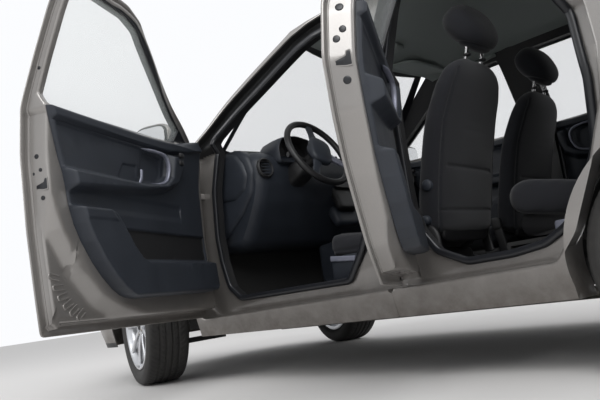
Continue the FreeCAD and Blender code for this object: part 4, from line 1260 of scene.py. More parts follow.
LEFT_BACK_X = -322.0
RIGHT_BACK_X = -262.0
BACK_LINE = [(-6, 0, 462), (-34, 0, 600), (-104, 0, 860), (-206, 0, 1086)]


def back_spine(count):
    """Line up the middle of a front seat's back, with the direction that faces forward."""
    spine = spline(BACK_LINE, count)
    lean = np.gradient(spine, axis=0)
    lean /= np.linalg.norm(lean, axis=1)[:, None]
    return spine, np.stack([lean[:, 2], 0 * lean[:, 0], -lean[:, 0]], -1)


def front_back_form():
    """Back of a front seat: broad shoulders, bolsters in front, flat behind."""
    count = 46
    t = np.linspace(0, 1, count)
    spine, forward = back_spine(count)
    ends = rounded_ends(count, 0.09, 0.10)
    half = np.interp(t, [0, 0.1, 0.4, 0.66, 0.84, 0.94, 1], [196, 214, 226, 222, 204, 176, 150])
    half = half * (0.45 + 0.55 * ends)
    back_reach = np.interp(t, [0, 0.3, 0.8, 1], [52, 50, 44, 34]) * ends
    front_reach = np.interp(t, [0, 0.3, 0.6, 0.85, 1], [60, 66, 60, 44, 32]) * ends
    hollow = np.interp(t, [0, 0.2, 0.6, 0.85, 1], [10, 32, 32, 12, 0]) * ends
    return cushion_rings(spine, forward, half, front_reach, back_reach, hollow)


def front_back_seams(points):
    """Seams of the back: side panels, the insert in front with its cross channels, the map pocket."""
    spine = back_spine(60)[0]
    t = np.interp(points[:, 2], spine[:, 2], np.linspace(0, 1, 60))
    middle = np.interp(points[:, 2], spine[:, 2], spine[:, 0])
    ahead = points[:, 0] - middle
    side = np.abs(points[:, 1])
    edge = np.interp(t, [0, 0.4, 0.66, 0.84, 1], [188, 196, 192, 172, 128])
    panel = np.where(np.abs(ahead) > 25, side - edge, NO_SEAM)
    insert = np.where(ahead > 12, side - np.interp(t, [0, 0.5, 1], [128, 138, 110]), NO_SEAM)
    crossing = np.where((ahead > 12) & (side < 138), points[:, 2] - 985 + 0.02 * side, NO_SEAM)
    lower = np.where((ahead > 12) & (side < 138), points[:, 2] - 640, NO_SEAM)
    pocket = np.where((ahead < -12) & (side < 165), points[:, 2] - 700 - 0.02 * points[:, 1], NO_SEAM)
    hem = np.where((ahead < -12) & (side < 196), points[:, 2] - 548, NO_SEAM)
    return nearest(panel, insert, crossing, lower, pocket, hem)


def front_cushion_form():
    """Cushion of a front seat: rolled front edge, thigh bolsters."""
    count = 40
    t = np.linspace(0, 1, count)
    base = spline([(-14, 0, 428), (150, 0, 418), (380, 0, 444), (452, 0, 452)], count)
    ends = rounded_ends(count, 0.10, 0.13)
    up = np.broadcast_to(np.array([-0.06, 0.0, 1.0]), (count, 3))
    half = np.interp(t, [0, 0.2, 0.8, 1], [198, 222, 224, 204]) * (0.5 + 0.5 * ends)
    return cushion_rings(base, up, half, np.interp(t, [0, 0.7, 1], [66, 72, 74]) * ends,
                         np.interp(t, [0, 1], [50, 56]) * ends, 24 * ends * (t < 0.9))


def front_cushion_seams(points):
    """Seams of the cushion: the insert, its cross channels and the line round the skirt."""
    side, height = np.abs(points[:, 1]), points[:, 2]
    insert = np.where(height > 440, side - np.interp(points[:, 0], [0, 480], [134, 128]), NO_SEAM)
    front = np.where((height > 440) & (side < 134), points[:, 0] - 392, NO_SEAM)
    skirt = height - 424 - 0.02 * points[:, 0]
    return nearest(insert, front, skirt)


def headrest_form(size, tilt, narrow):
    """Pillow: rounded block, wider above than below, tilted forward."""
    points = soft_box((0, 0, 0), size, 2.6, rows=30, columns=56).points
    height = points[..., 2:3] / (size[2] / 2)
    squeeze = 1 - narrow * np.clip(-height, -0.2, 1)
    points = points * np.concatenate([squeeze, squeeze, np.ones_like(squeeze)], -1)
    return Surface(tilted(points, tilt), columns=True)


def seat_frame(y, back_x, front_x):
    """Rails, side covers, levers, recliner knobs, buckle and headrest posts of one front seat."""
    door_side = 1 if y > 0 else -1
    surfaces = []
    for s in (-1, 1):
        path = spline([(back_x - 176, y + s * 58, 1030), (back_x - 200, y + s * 58, 1100),
                       (back_x - 222, y + s * 58, 1170)], 12)
        surfaces.append(swept(path, ellipse(7.5, 7.5, 12), up=(0, 1, 0), finish=1))
        surfaces.append(soft_box((back_x - 206, y + s * 58, 1100), (26, 26, 12), 3))
        surfaces.append(soft_box(((front_x + back_x) / 2 - 30, y + s * 190, 262),
                                 (front_x - back_x - 20, 40, 82), 10))
        surfaces.append(soft_box(((front_x + back_x) / 2 - 20, y + s * 186, 330),
                                 (front_x - back_x - 60, 30, 120), 6))
    cover_y = y + door_side * 216
    surfaces.append(soft_box(((front_x + back_x) / 2 - 30, cover_y, 384),
                             (front_x - back_x - 50, 30, 132), 4.5, -3, finish=3))
    surfaces.append(soft_box(((front_x + back_x) / 2 - 20, y, 384), (front_x - back_x - 60, 380, 90), 5))
    surfaces.append(soft_box((back_x + 4, cover_y - door_side * 6, 430), (120, 28, 150), 2.6))
    for x, z, radius in ((back_x - 46, 640, 21), (back_x - 16, 520, 17)):
        surfaces.append(spun([(POLE, 26), (radius - 5, 26), (radius, 20), (radius + 2, 0), (POLE, 0)],
                             (x, y + door_side * 208, z), (0, door_side, 0), 28, 3))
    lever = [(front_x - 190, cover_y + door_side * 14, 434),
             (front_x - 120, cover_y + door_side * 18, 442),
             (front_x - 66, cover_y + door_side * 14, 448)]
    surfaces.append(swept(spline(lever, 16), ellipse(5, 11, 14, 2.6), up=(0, 0, 1), finish=2))
    buckle = [(back_x - 4, y - door_side * 236, 392), (back_x + 4, y - door_side * 240, 450),
              (back_x + 10, y - door_side * 240, 500)]
    surfaces.append(swept(spline(buckle, 12), ellipse(9, 20, 18, 3.0), up=(1, 0, 0)))
    surfaces.append(soft_box((back_x + 12, y - door_side * 240, 512), (44, 24, 58), 4.0))
    surfaces.append(soft_box((back_x - 40, y, 480), (26, 330, 90), 5, -14))
    return surfaces


class CAR_OT_front_seats(bpy.types.Operator):
    """Front seats: padded backs, cushions and headrests on their frames."""

    bl_idname = "car.front_seats"
    bl_label = "Front seats"

    def execute(self, context):
        back = upholstered("front_seat_back_left", front_back_form(), front_back_seams)
        cushion = upholstered("front_seat_cushion_left", front_cushion_form(), front_cushion_seams)
        rest = upholstered("front_headrest_left", headrest_form((124, 250, 196), 28, 0.14),
                           lambda p: nearest(p[:, 2] + 66 - 0.5 * p[:, 0]), 8.0, 10.0)
        for piece, name, along, up in ((back, "front_seat_back_right", 0, 0),
                                       (cushion, "front_seat_cushion_right", 8, 42),
                                       (rest, "front_headrest_right", -214, 1206)):
            copied(piece, name, shifted(RIGHT_BACK_X + along, -SEAT_Y, up))
            place_points(piece.data, mesh_points(piece.data)
                         + np.array([LEFT_BACK_X + along, SEAT_Y, up]))
        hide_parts("front_seats")
        surfaces = seat_frame(SEAT_Y, LEFT_BACK_X, 186.0) + seat_frame(-SEAT_Y, RIGHT_BACK_X, 246.0)
        mesh_piece("front_seat_frames", surfaces,
                   ["black_plastic", "bright_metal", "silver_trim", "interior_plastic"],
                   "car_body", smooth=60)
        return {"FINISHED"}


# rear bench: its profiles are drawn in (x, z) and carried across the car

BENCH_NOSE = [(-1118, 420), (-840, 446), (-705, 472), (-655, 482), (-632, 502), (-628, 552),
              (-650, 580), (-694, 590), (-800, 566), (-960, 522), (-1118, 500)]
BENCH_BACK = [(-1083, 560), (-1158, 800), (-1246, 990), (-1300, 1004), (-1330, 986), (-1282, 800),
              (-1207, 560), (-1172, 474), (-1118, 474)]


def carried_across(profile, start, end, count, round_share, soften=30, points=70):
    """Profile in (x, z) carried along Y between two ends, drawn in at each end."""
    loop = rounded_loop(profile, points, soften)
    y = np.linspace(start, end, count)
    size = rounded_ends(count, round_share, round_share)[:, None]
    middle = loop.mean(0)
    flat = middle + (loop[None] - middle) * (0.86 + 0.14 * size)[..., None]
    return rings(standing(flat, y))


def bench_cushion_seams(points):
    """Piping round the end panels, two long channels and the line under the rolled front."""
    side = np.abs(points[:, 1])
    ends = side - 520
    channels = np.where(points[:, 0] < -700, nearest(side - 150, side - 420), NO_SEAM)
    front = np.where(side < 520, points[:, 0] + 712, NO_SEAM)
    front = np.where(points[:, 2] > 520, front, NO_SEAM)
    return nearest(ends, channels, front)


class CAR_OT_rear_seat(bpy.types.Operator):
    """Rear bench: rolled cushion, leaning back in three parts and three headrests."""

    bl_idname = "car.rear_seat"
    bl_label = "Rear seat"

    def execute(self, context):
        cushion = upholstered("rear_seat_cushion",
                              carried_across(BENCH_NOSE, -566, 566, 70, 0.05, 34),
                              bench_cushion_seams, 13.0, 18.0)
        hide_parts("rear_seat")
        back = upholstered("rear_seat_back_left", carried_across(BENCH_BACK, 190, 548, 34, 0.1),
                           lambda p: nearest(p[:, 1] - 232, p[:, 1] - 506,
                                             np.where(p[:, 0] > -1200, p[:, 2] - 900, NO_SEAM)), 12.0, 20.0)
        copied(back, "rear_seat_back_right", mirror)
        upholstered("rear_seat_back_middle", carried_across(BENCH_BACK, -182, 182, 34, 0.1),
                    lambda p: nearest(np.abs(p[:, 1]) - 150,
                                      np.where(p[:, 0] > -1200, p[:, 2] - 900, NO_SEAM)), 12.0, 20.0)
        rest = upholstered("rear_headrest_left", headrest_form((76, 206, 124), 14, 0.08),
                           lambda p: nearest(np.abs(p[:, 1]) - 86), 7.0, 8.0)
        copied(rest, "rear_headrest_middle", shifted(-1296, 0, 1070))
        copied(rest, "rear_headrest_right", shifted(-1296, -360, 1070))
        place_points(rest.data, mesh_points(rest.data) + np.array([-1296, 360, 1070]))
        plinth = rounded_loop([(-1118, 400), (-700, 400), (-662, 408), (-650, 440), (-662, 478),
                               (-1118, 440)], 48, 20)
        y = np.array([-536.0, -530.0, 0.0, 530.0, 536.0])
        size = np.array([0.97, 1.0, 1.0, 1.0, 0.97])[:, None, None]
        flat = plinth.mean(0) + (plinth[None] - plinth.mean(0)) * size
        surfaces = [rings(standing(flat, y)), soft_box((-786, 541, 422), (40, 14, 34), 4, finish=2)]
        for y in (-360.0, 0.0, 360.0):
            for s in (-1, 1):
                path = [(-1282, y + s * 50, 980), (-1294, y + s * 50, 1050)]
                surfaces.append(swept(spline(path, 6), ellipse(6, 6, 10), up=(0, 1, 0), finish=1))
        mesh_piece("rear_seat_base", surfaces, ["black_plastic", "bright_metal", "silver_trim"],
                   "car_body", smooth=60)
        return {"FINISHED"}


# dashboard and steering wheel


DASH_OUTLINE = [(800, 560), (800, 960), (700, 992), (600, 1004), (505, 995), (455, 960), (442, 905),
                (448, 840), (478, 760), (540, 660), (600, 580), (640, 560)]
DASH_HALF_WIDTH = 612
FACING_BACK = (-1, 0, 0)
COLUMN_TOP = np.array([318.6, DRIVER_Y, 941.3])


def dash_body():
    """Dashboard across the car: one rounded outline, its two ends bulged and drawn in."""
    outline = rounded_loop(DASH_OUTLINE, 96, 30)
    y = np.linspace(-DASH_HALF_WIDTH, DASH_HALF_WIDTH, 80)
    near_end = np.clip((np.abs(y) - 540) / 72.0, 0, 1)
    size = np.sqrt(1 - 0.55 * near_end ** 2.5)[:, None]
    middle = np.array([660.0, 780.0])
    scoop = -26 * np.exp(-((np.abs(y) - 20) / 190.0) ** 4)[:, None]
    flat = middle + (outline[None] - middle) * (0.55 + 0.45 * size)[..., None]
    flat[..., 0] -= scoop * np.exp(-((flat[..., 1] - 800) / 140.0) ** 2)
    return rings(standing(flat, y))


def binnacle():
    """Hood over the dials: a tunnel whose mouth faces the driver."""
    hood = rounded_loop([(-125, 930), (-128, 1005), (-95, 1052), (0, 1066), (95, 1052), (128, 1005),
                         (125, 930)], 60, 30)
    middle = hood.mean(0)
    rows = []
    for x, size in ((600, 0.72), (560, 0.9), (500, 0.98), (450, 1.0), (425, 0.99), (421, 0.96),
                    (424, 0.92), (450, 0.88), (480, 0.84), (482, 0.01)):
        flat = middle + (hood - middle) * size
        rows.append(np.stack([np.full(len(flat), float(x)), DRIVER_Y + flat[:, 0], flat[:, 1]], -1))
    black = np.array([0] * 6 + [1] * 5)[:, None]
    return rings(rows, black)


def dash_end(side):
    """Domed cover of the dashboard's end: outlines in (x, z), smaller and further out ring by ring."""
    outer = rounded_loop([(720, 1012), (640, 1024), (560, 1014), (500, 972), (474, 895), (500, 800),
                          (580, 715), (660, 660), (735, 612), (790, 640), (795, 960)], 72, 26)
    lobe = rounded_loop([(712, 1000), (640, 1010), (566, 992), (524, 940), (506, 880), (530, 822),
                         (600, 785), (712, 795), (740, 900)], 72, 24)
    covers = []
    for outline, levels in ((outer, ((570, 0.98), (604, 1.0), (618, 0.985), (626, 0.93), (630, 0.8),
                                     (632, 0.5))),
                            (lobe, ((620, 0.98), (630, 1.0), (636, 0.96), (640, 0.84), (642, 0.5)))):
        places, sizes = np.array(levels).T
        middle = outline.mean(0)
        flat = middle + (outline[None] - middle) * sizes[:, None, None]
        covers.append(rings(standing(flat, side * places)))
    return covers


def dial(centre, radius):
    """Recessed dial with a thin rim, facing back."""
    return spun([(POLE, 0), (radius, 0), (radius, 6), (radius + 3, 6), (radius + 3, -4),
                 (POLE, -4)], centre, FACING_BACK, 40, 1)


def vent(centre, radius):
    """Round air vent: ring and four slats, facing back and down."""
    x, y, z = centre
    pieces = [spun([(radius - 7, -6), (radius - 6, 4), (radius, 7), (radius + 5, 2), (radius + 5, -8)],
                   centre, (-1, 0, 0.1), 36, 1)]
    for k in range(-2, 3):
        reach = 2 * math.sqrt(max(radius ** 2 - (k * radius / 3) ** 2, 1)) - 16
        pieces.append(soft_box((x + 1, y, z + k * radius / 3), (10, reach, 3.5), 4, 12, 8, 16, 1))
    pieces.append(spun([(POLE, -9), (radius, -9), (radius, -11), (POLE, -11)], centre,
                       (-1, 0, 0.1), 30, 1))
    return pieces


def stalk(y_side):
    """Lever behind the steering wheel."""
    base = np.array([365.0, DRIVER_Y, 925.0])
    path = spline([base, base + [-14, y_side * 60, 6], base + [-28, y_side * 120, 12],
                   base + [-34, y_side * 165, 14]], 20)
    return swept(path, ellipse(7, 10, 14), scale=np.interp(np.arange(20), [0, 12, 19], [0.8, 1, 1.25]),
                 finish=1)


class CAR_OT_dashboard(bpy.types.Operator):
    """Dashboard with hood, dials, vents, column, radio space, console, lever and handbrake."""

    bl_idname = "car.dashboard"
    bl_label = "Dashboard"

    def execute(self, context):
        surfaces = [dash_body(), binnacle()] + dash_end(1) + dash_end(-1)
        for y, radius in ((315, 42), (425, 42), (DRIVER_Y, 18)):
            surfaces.append(dial((484, y, 985), radius))
        for y in (570, 120, -120, -570):
            outer = abs(y) > 300
            surfaces += vent((446 if outer else 470, y, 905), 42 if outer else 36)
        start = COLUMN_TOP
        end = start + tilted(np.array([210.0, 0.0, 0.0]), COLUMN_LEAN)
        surfaces.append(swept(spline([start, end], 12), ellipse(28, 28, 28), up=(0, 1, 0), finish=1))
        surfaces.append(soft_box((start + end) / 2 + [26, 0, -16], (150, 120, 92), 3.4, COLUMN_LEAN,
                                 finish=1))
        surfaces += [stalk(1), stalk(-1)]
        surfaces.append(soft_box((478, 0, 790), (40, 180, 150), 6, 20, finish=1))
        surfaces.append(soft_box((462, 0, 850), (14, 172, 46), 6, 16, finish=1))
        surfaces.append(soft_box((500, 0, 690), (60, 190, 120), 4, 26))
        tunnel = rounded_loop([(90, 372), (640, 372), (640, 560), (480, 575), (330, 540), (250, 520),
                               (120, 515), (70, 470), (72, 400)], 80, 26)
        y = np.linspace(-92, 92, 14)
        size = rounded_ends(14, 0.14, 0.14)[:, None]
        middle = np.array([340.0, 440.0])
        flat = middle + (tunnel[None] - middle) * (0.92 + 0.08 * size)[..., None]
        surfaces.append(rings(standing(flat, y)))
        lever = spline([(400, 0, 540), (385, 0, 590), (365, 0, 640)], 14)
        surfaces.append(swept(lever, ellipse(30, 26, 20), up=(0, 1, 0),
                              scale=np.linspace(1.0, 0.3, 14), finish=1))
        surfaces.append(soft_box((362, 0, 655), (44, 40, 52), 2.6, finish=1))
        brake = spline([(200, 45, 512), (140, 45, 545), (60, 45, 575)], 14)
        surfaces.append(swept(brake, ellipse(13, 15, 16), finish=1))
        mesh_piece("dashboard_cover", surfaces,
                   ["interior_plastic", "black_plastic", "silver_trim", "bright_metal"],
                   "car_body", "dashboard", smooth=45)
        return {"FINISHED"}


def steering_place(points):
    """From the wheel's own place (axis along X) to its place in the car, turned with the front wheels."""
    turn = math.radians(-FRONT_WHEELS_TURN * STEERING_RATIO)
    y, z = points[..., 1], points[..., 2]
    c, s = math.cos(turn), math.sin(turn)
    turned = np.stack([points[..., 0], y * c - z * s, y * s + z * c], -1)
    return tilted(turned, COLUMN_LEAN) + np.array([300.0, DRIVER_Y, 950.0])


class CAR_OT_steering_wheel(bpy.types.Operator):
    """Steering wheel: thick rim, three spokes and a soft middle."""

    bl_idname = "car.steering_wheel"
    bl_label = "Steering wheel"

    def execute(self, context):
        a = np.arange(120) * 2 * math.pi / 120
        path = np.stack([0 * a, 170 * np.cos(a), 170 * np.sin(a)], -1)
        rim = swept(path, ellipse(14.5, 14.5, 20), closed=True, up=(1, 0, 0))
        pad = soft_box((-12, 0, -4), (44, 150, 118), 3.2, rows=22, columns=44, finish=1)
        boss = spun([(POLE, -10), (52, -10), (58, 2), (52, 14), (30, 20), (POLE, 20)], (0, 0, 0),
                    (1, 0, 0), 40, 1)
        surfaces = [rim, pad, boss]
        for angle in (12, 168, 270):
            t = math.radians(angle)
            ends = [(x, r * math.cos(t), r * math.sin(t)) for x, r in ((-4, 40), (-2, 105), (0, 168))]
            surfaces.append(swept(spline(ends, 16), ellipse(19, 8, 18, 3), up=(1, 0, 0),
                                  scale=np.interp(np.arange(16), [0, 8, 15], [1.5, 0.95, 1.0]),
                                  finish=1 if angle != 270 else 2))
        mesh_piece("steering_wheel_cover", [s.moved(steering_place) for s in surfaces],
                   ["wheel_leather", "interior_plastic", "silver_trim"], "steering_wheel_body",
                   "steering_wheel", smooth=50)
        return {"FINISHED"}


# wheels

SPOKES = 9
BOLTS = 5
WHEEL_Y = 716.0
KING_PIN_Y = 650.0


def wheel_places():
    """Name, body and movement of each wheel from its own place (axis along Y, outer face at +Y)."""
    for end, x in (("front", AXLE_X), ("rear", -AXLE_X)):
        for word, side in (("left", 1), ("right", -1)):
            def move(points, x=x, side=side, end=end):
                placed = points * np.array([1.0, side, 1.0]) + np.array([x, side * WHEEL_Y, AXLE_Z])
                if end == "front":
                    return turn_about(placed, (AXLE_X, side * KING_PIN_Y), FRONT_WHEELS_TURN)
                return placed
            yield f"{end}_{word}", f"wheel_{end}_{word}", move


def tyre_surface():
    """Tyre: rounded section turned round the axle, with a plain raised band on each side wall.

    Its tread is cut by grooves and slanted sipes.
    """
    section = rounded_loop([(207, -84), (218, -86), (236, -99), (262, -102), (284, -94), (293, -80),
                            (294.8, -60), (295, 0), (294.8, 60), (293, 80), (284, 94), (262, 102),
                            (236, 99), (218, 86), (207, 84)], 110, 5)
    start = np.argmin(section[:, 0] + np.abs(section[:, 1]) * 0.01)
    section = np.roll(section, -start, 0)
    turns = 360
    a = (np.arange(turns) * 2 * math.pi / turns)[:, None]
    radius, across = section[None, :, 0] + 0 * a, section[None, :, 1] + 0 * a
    on_tread = step(radius - 289, 4) * (np.abs(across) < 86)
    grooves = np.zeros(radius.shape)
    for place in (-44, -15, 15, 44):
        grooves = np.maximum(grooves, step(3.6 - np.abs(across - place), 2.4))
    pitch = (a * 36 / math.pi + np.abs(across) / 34.0) % 1.0
    sipes = step(0.09 - np.abs(pitch - 0.5), 0.10) * (np.abs(across) > 17)
    radius = radius - on_tread * np.maximum(6.5 * grooves, 4.0 * sipes)
    band = step(4 - np.abs(radius - 251), 3) * (np.abs(across) > 90)
    across = across + np.sign(across) * band * 0.8
    return Surface(np.stack([radius * np.cos(a), across, radius * np.sin(a)], -1), rows=True,
                   columns=True)


def spoke_surface(angle):
    """One spoke: a rounded bar from the hub to the rim, wider and set back towards the rim."""
    path = spline([(42, 60, 0), (90, 70, 0), (150, 74, 0), (198, 76, 0)], 22)
    bar = swept(path, ellipse(17, 9, 18, 3.2), up=(0, 1, 0),
                scale=np.interp(np.arange(22), [0, 5, 15, 21], [0.75, 0.62, 0.74, 1.15]))
    c, s = math.cos(angle), math.sin(angle)

    def turn(points):
        x, z = points[..., 0], points[..., 2]
        return np.stack([x * c - z * s, points[..., 1], x * s + z * c], -1)
    return bar.moved(turn)


def rim_surfaces():
    """Barrel with both flanges, spokes, hub with bolts and cap, brake disc."""
    barrel = [(196, -92), (205, -93), (215.5, -91.5), (216.3, -88), (214, -84.6), (206.5, -83),
              (205.5, -72), (197, -60), (190, -30), (190, 40), (198, 62), (205.5, 76), (206.5, 83),
              (214, 84.6), (216.3, 88), (215.5, 91.5), (206, 92), (201, 84), (192, 76), (184, 60),
              (184, -30), (190, -60), (194, -86)]
    pieces = [Surface(spun(barrel, (0, 0, 0), (0, 1, 0), 96).points, rows=True, columns=True)]
    pieces += [spoke_surface(2 * math.pi * k / SPOKES) for k in range(SPOKES)]
    pieces.append(spun([(POLE, 68), (30, 68), (34, 66), (36, 72), (58, 70), (66, 60), (66, 30),
                        (POLE, 30)], (0, 0, 0), (0, 1, 0), 60))
    pieces.append(spun([(POLE, 76), (22, 75), (27, 72), (28, 60), (POLE, 60)], (0, 0, 0),
                       (0, 1, 0), 40, 1))
    for k in range(BOLTS):
        a = 2 * math.pi * k / BOLTS
        place = (47 * math.cos(a), 66, 47 * math.sin(a))
        pieces.append(spun([(POLE, 8), (7, 8), (8.5, 6), (8.5, 0), (POLE, 0)], place, (0, 1, 0),
                           6, 2))
    pieces.append(spun([(POLE, -8), (60, -8), (62, -10), (126, -10), (128, -12), (128, -28),
                        (126, -30), (POLE, -30)], (0, 0, 0), (0, 1, 0), 72, 2))
    pieces.append(spun([(POLE, 31), (50, 31), (52, 29), (52, -8), (POLE, -8)], (0, 0, 0),
                       (0, 1, 0), 40, 2))
    return pieces


class CAR_OT_wheels(bpy.types.Operator):
    """Four tyres with tread and four alloy wheels with hubs and brake discs."""

    bl_idname = "car.wheels"
    bl_label = "Wheels"

    def execute(self, context):
        tyre = tyre_surface()
        rim = rim_surfaces()
        for name, body, move in wheel_places():
            mesh_piece(f"tyre_tread_{name}", [tyre.moved(move)], ["tyre_rubber"], body,
                       f"tyre_{name}", smooth=40)
            mesh_piece(f"wheel_disc_{name}", [s.moved(move) for s in rim],
                       ["wheel_alloy", "black_plastic", "brake_steel"], body,
                       f"rim_{name}", smooth=40)
        return {"FINISHED"}


# roof, lining, pillar covers and mirrors

ROOF_STATIONS = [(230.0, 540.0, 1462.0, 1436.0), (0.0, 545.0, 1482.0, 1446.0),
                 (-350.0, 547.0, 1498.0, 1450.0), (-900.0, 545.0, 1484.0, 1446.0),
                 (-1380.0, 530.0, 1446.0, 1424.0)]


def roof_grid(lower, narrower, rows=70, columns=41):
    """Roof surface: height falls from the centre to the edge as 1 - s squared, smooth along X."""
    table = spline(np.array(ROOF_STATIONS)[::-1], rows)
    s = np.linspace(-1, 1, columns)[None]
    half = table[:, 1:2] - narrower
    height = table[:, 3:4] + (table[:, 2:3] - table[:, 3:4]) * (1 - s ** 2) - lower
    front = np.clip((table[:, :1] - 60) / 170.0, 0, 1)
    x = table[:, :1] - 88 * s ** 2 * front + 22 * front
    return np.stack([x + 0 * s, s * half, height + 0 * s], -1)


class CAR_OT_roof(bpy.types.Operator):
    """Roof panel with its lining, grab handles, courtesy lamp and sun visors."""

    bl_idname = "car.roof"
    bl_label = "Roof"

    def execute(self, context):
        top, under = roof_grid(0, 0.5), roof_grid(24, 0.5)
        fall = 1 - np.clip((np.abs(top[..., 1]) / (np.abs(top[0, 0, 1]) + 1) - 0.97) / 0.03, 0, 1) ** 2
        top[..., 2] -= (1 - np.sqrt(np.clip(fall, 0, 1))) * 6
        surfaces = [plate(top, under)]
        lining = roof_grid(25.5, 10)
        edge = np.clip(np.abs(np.linspace(-1, 1, 41)) - 0.86, 0, 1)[None] / 0.14
        lower = roof_grid(36, 10)
        lower[..., 2] -= 18 * edge ** 2
        lining[..., 2] -= 1
        surfaces.append(Surface(plate(lining, lower).points, columns=True, finish=1))
        for side in (1, -1):
            for x in (-120.0, -760.0):
                y = side * 528
                path = spline([(x + 95, y, 1396), (x + 84, y - side * 28, 1386),
                               (x + 40, y - side * 40, 1376), (x - 40, y - side * 40, 1376),
                               (x - 84, y - side * 28, 1386), (x - 95, y, 1396)], 30)
                surfaces.append(swept(path, ellipse(7, 11, 14), finish=1))
        for y in (330, -330):
            surfaces.append(soft_box((120, y, 1412), (150, 330, 16), 5, -8, finish=1))
        surfaces.append(soft_box((60, 0, 1430), (120, 80, 24), 5, -4, finish=1))
        mesh_piece("roof_skin", surfaces, ["body_paint", "roof_lining", "black_plastic"], "car_body",
                   "roof_panel", smooth=45)
        return {"FINISHED"}


def mirror_head():
    """Door mirror: rounded shell, its glass set in the rear face, and the foot on the door."""
    shell = soft_box((632, 872, 1100), (92, 172, 118), 3.4, rows=24, columns=44)
    x = shell.points[..., 0]
    shell.points[..., 0] = np.where(x < 606, 606 - (606 - x) * 0.25, x)
    bezel = soft_box((600, 874, 1100), (16, 152, 98), 4.0, rows=18, columns=40, finish=1)
    glass = soft_box((592, 874, 1100), (4, 138, 84), 4.0, rows=12, columns=40, finish=2)
    foot = soft_box((626, 792, 1052), (110, 56, 34), 3.0, rows=16, columns=32, finish=1)
    return [shell, bezel, glass, foot]


class CAR_OT_mirrors(bpy.types.Operator):
    """Door mirrors with their glass and feet."""

    bl_idname = "car.mirrors"
    bl_label = "Mirrors"

    def execute(self, context):
        for side, word in ((1, "left"), (-1, "right")):
            move = swing(side, FRONT_HINGE, LEFT_FRONT_OPEN)
            mesh_piece(f"door_mirror_{word}", [s.moved(move) for s in mirror_head()],
                       ["body_paint", "black_plastic", "mirror_glass"], f"front_door_{word}_body",
                       f"mirror_{word}", smooth=45)
        return {"FINISHED"}


# nose: bonnet, wings, bumpers, grilles, scuttle and head lamps

BONNET_LINE = [(880.0, 1000.0, 962.0), (1225.0, 962.0, 893.0), (1600.0, 880.0, 822.0),
               (1820.0, 800.0, 770.0), (1930.0, 762.0, 752.0)]
HEAD_LAMP = [(1708, 797), (1754, 701), (1942, 701), (1932, 736), (1820, 760)]
WING_LOOP = [(784, 240), (784, 985), (880, 966), (1225, 897), (1600, 826), (1700, 799), (1745, 704),
             (1690, 654), (1590, 574), (1440, 573), (1225, 240)]
# bend of the bumpers in plan and of the bonnet across
PLAN_POWER = 2.4
# height of the joint between wing and bumper, and where the arch takes over from it
BUMPER_JOINT = 574.0
ARCH_START = math.radians(52.3)
SCUTTLE_HALF_WIDTH = 600


def bonnet_grid(lower, inset, rows=90, columns=81):
    """Bonnet: height falls from the centre as |y / half|^2.4, with two raised lines and a curved nose."""
    table = spline(BONNET_LINE, rows)
    s = np.linspace(-1, 1, columns)[None]
    x, centre, edge = table[:, :1], table[:, 1:2], table[:, 2:3]
    full = skin_y(x, edge) - 8.0
    y = s * (full - 98.0 * step(x - 1716, 26) - inset)
    share = np.abs(y / full)
    height = edge + (centre - edge) * (1 - share ** PLAN_POWER)
    line = 0.74 - 0.20 * (x - 880) / 1050
    height = height + 4.5 * np.exp(-((share - line) / 0.05) ** 2) * step(x - 960, 160)
    fold = np.clip((np.abs(s) - 0.985) / 0.015, 0, 1)
    nose = np.clip((x - 1760) / 170, 0, 1)
    x = x - 42.0 * share ** 2 * nose + 14.0 * nose * (1 - share ** 2)
    return np.stack([x + 0 * s, y + 0 * x, height - 5 * fold ** 2 - 8 * (nose > 0.97) - lower], -1)


def wing_surface():
    """Wing: between the wheel arch and the wing's edge, in directions from the axle.

    Ahead of the arch its inner edge is the bumper's joint. Known fault: rays there cross
    WING_LOOP more than once, so the outer edge jumps between the crossings. It leaves a hole
    beside the head lamp and thin spikes in the wheel arch.
    """
    angle = np.radians(np.linspace(37.8, 180.8, 124))
    ray = np.stack([np.cos(angle), np.sin(angle)], -1)
    centre = np.array([AXLE_X, AXLE_Z])
    reach = np.where(angle < ARCH_START, (BUMPER_JOINT - AXLE_Z) / np.sin(angle), ARCH_RADIUS)
    near = centre + ray * reach[:, None]
    far = seen_from(centre, WING_LOOP, 4, near)
    section = ([(0.0, 0.0, 26.0), (0.0, 0.0, 8.0), (0.0, 0.6, 1.5), (0.0, 3.0, -1.6), (0.0, 9.0, -3.2),
                (0.0, 20.0, -3.0), (0.0, 34.0, -1.2), (0.0, 50.0, 0.2)]
               + [(share, 50.0 * (1 - share), 0.3) for share in (0.08, 0.2, 0.35, 0.5, 0.65, 0.8, 0.92)]
               + [(1.0, -1.5, 0.5), (1.0, 0.0, 2.2), (1.0, 0.0, 16.0), (0.9, 0.0, 16.0), (0.5, 0.0, 10.0),
                  (0.1, 20.0, 8.0), (0.0, 20.0, 12.0)])
    rows = []
    room = 0.9 * np.linalg.norm(far - near, axis=1)
    for share, out, depth in section:
        flat = near + (far - near) * share + ray * np.minimum(out, room)[:, None]
        rows.append(sunk(flat[:, 0], flat[:, 1], np.full(len(flat), depth)))
    grid = np.array(rows)
    ends = [grid[:, :1] * 0 + grid[:, k].mean(0) for k in (0, -1)]
    return Surface(np.concatenate([ends[0], grid, ends[1]], 1), rows=True)


def arch_front(z):
    """Rear edge of the front bumper: the wheel arch, then the line under the wing."""
    high = np.clip(z - AXLE_Z, 0, 276)
    under = np.interp(z, [571, 574, 654, 704], [1440, 1592, 1692, 1748])
    return np.where(z < 571, AXLE_X + np.sqrt(ARCH_RADIUS ** 2 - high ** 2) + 3, under)


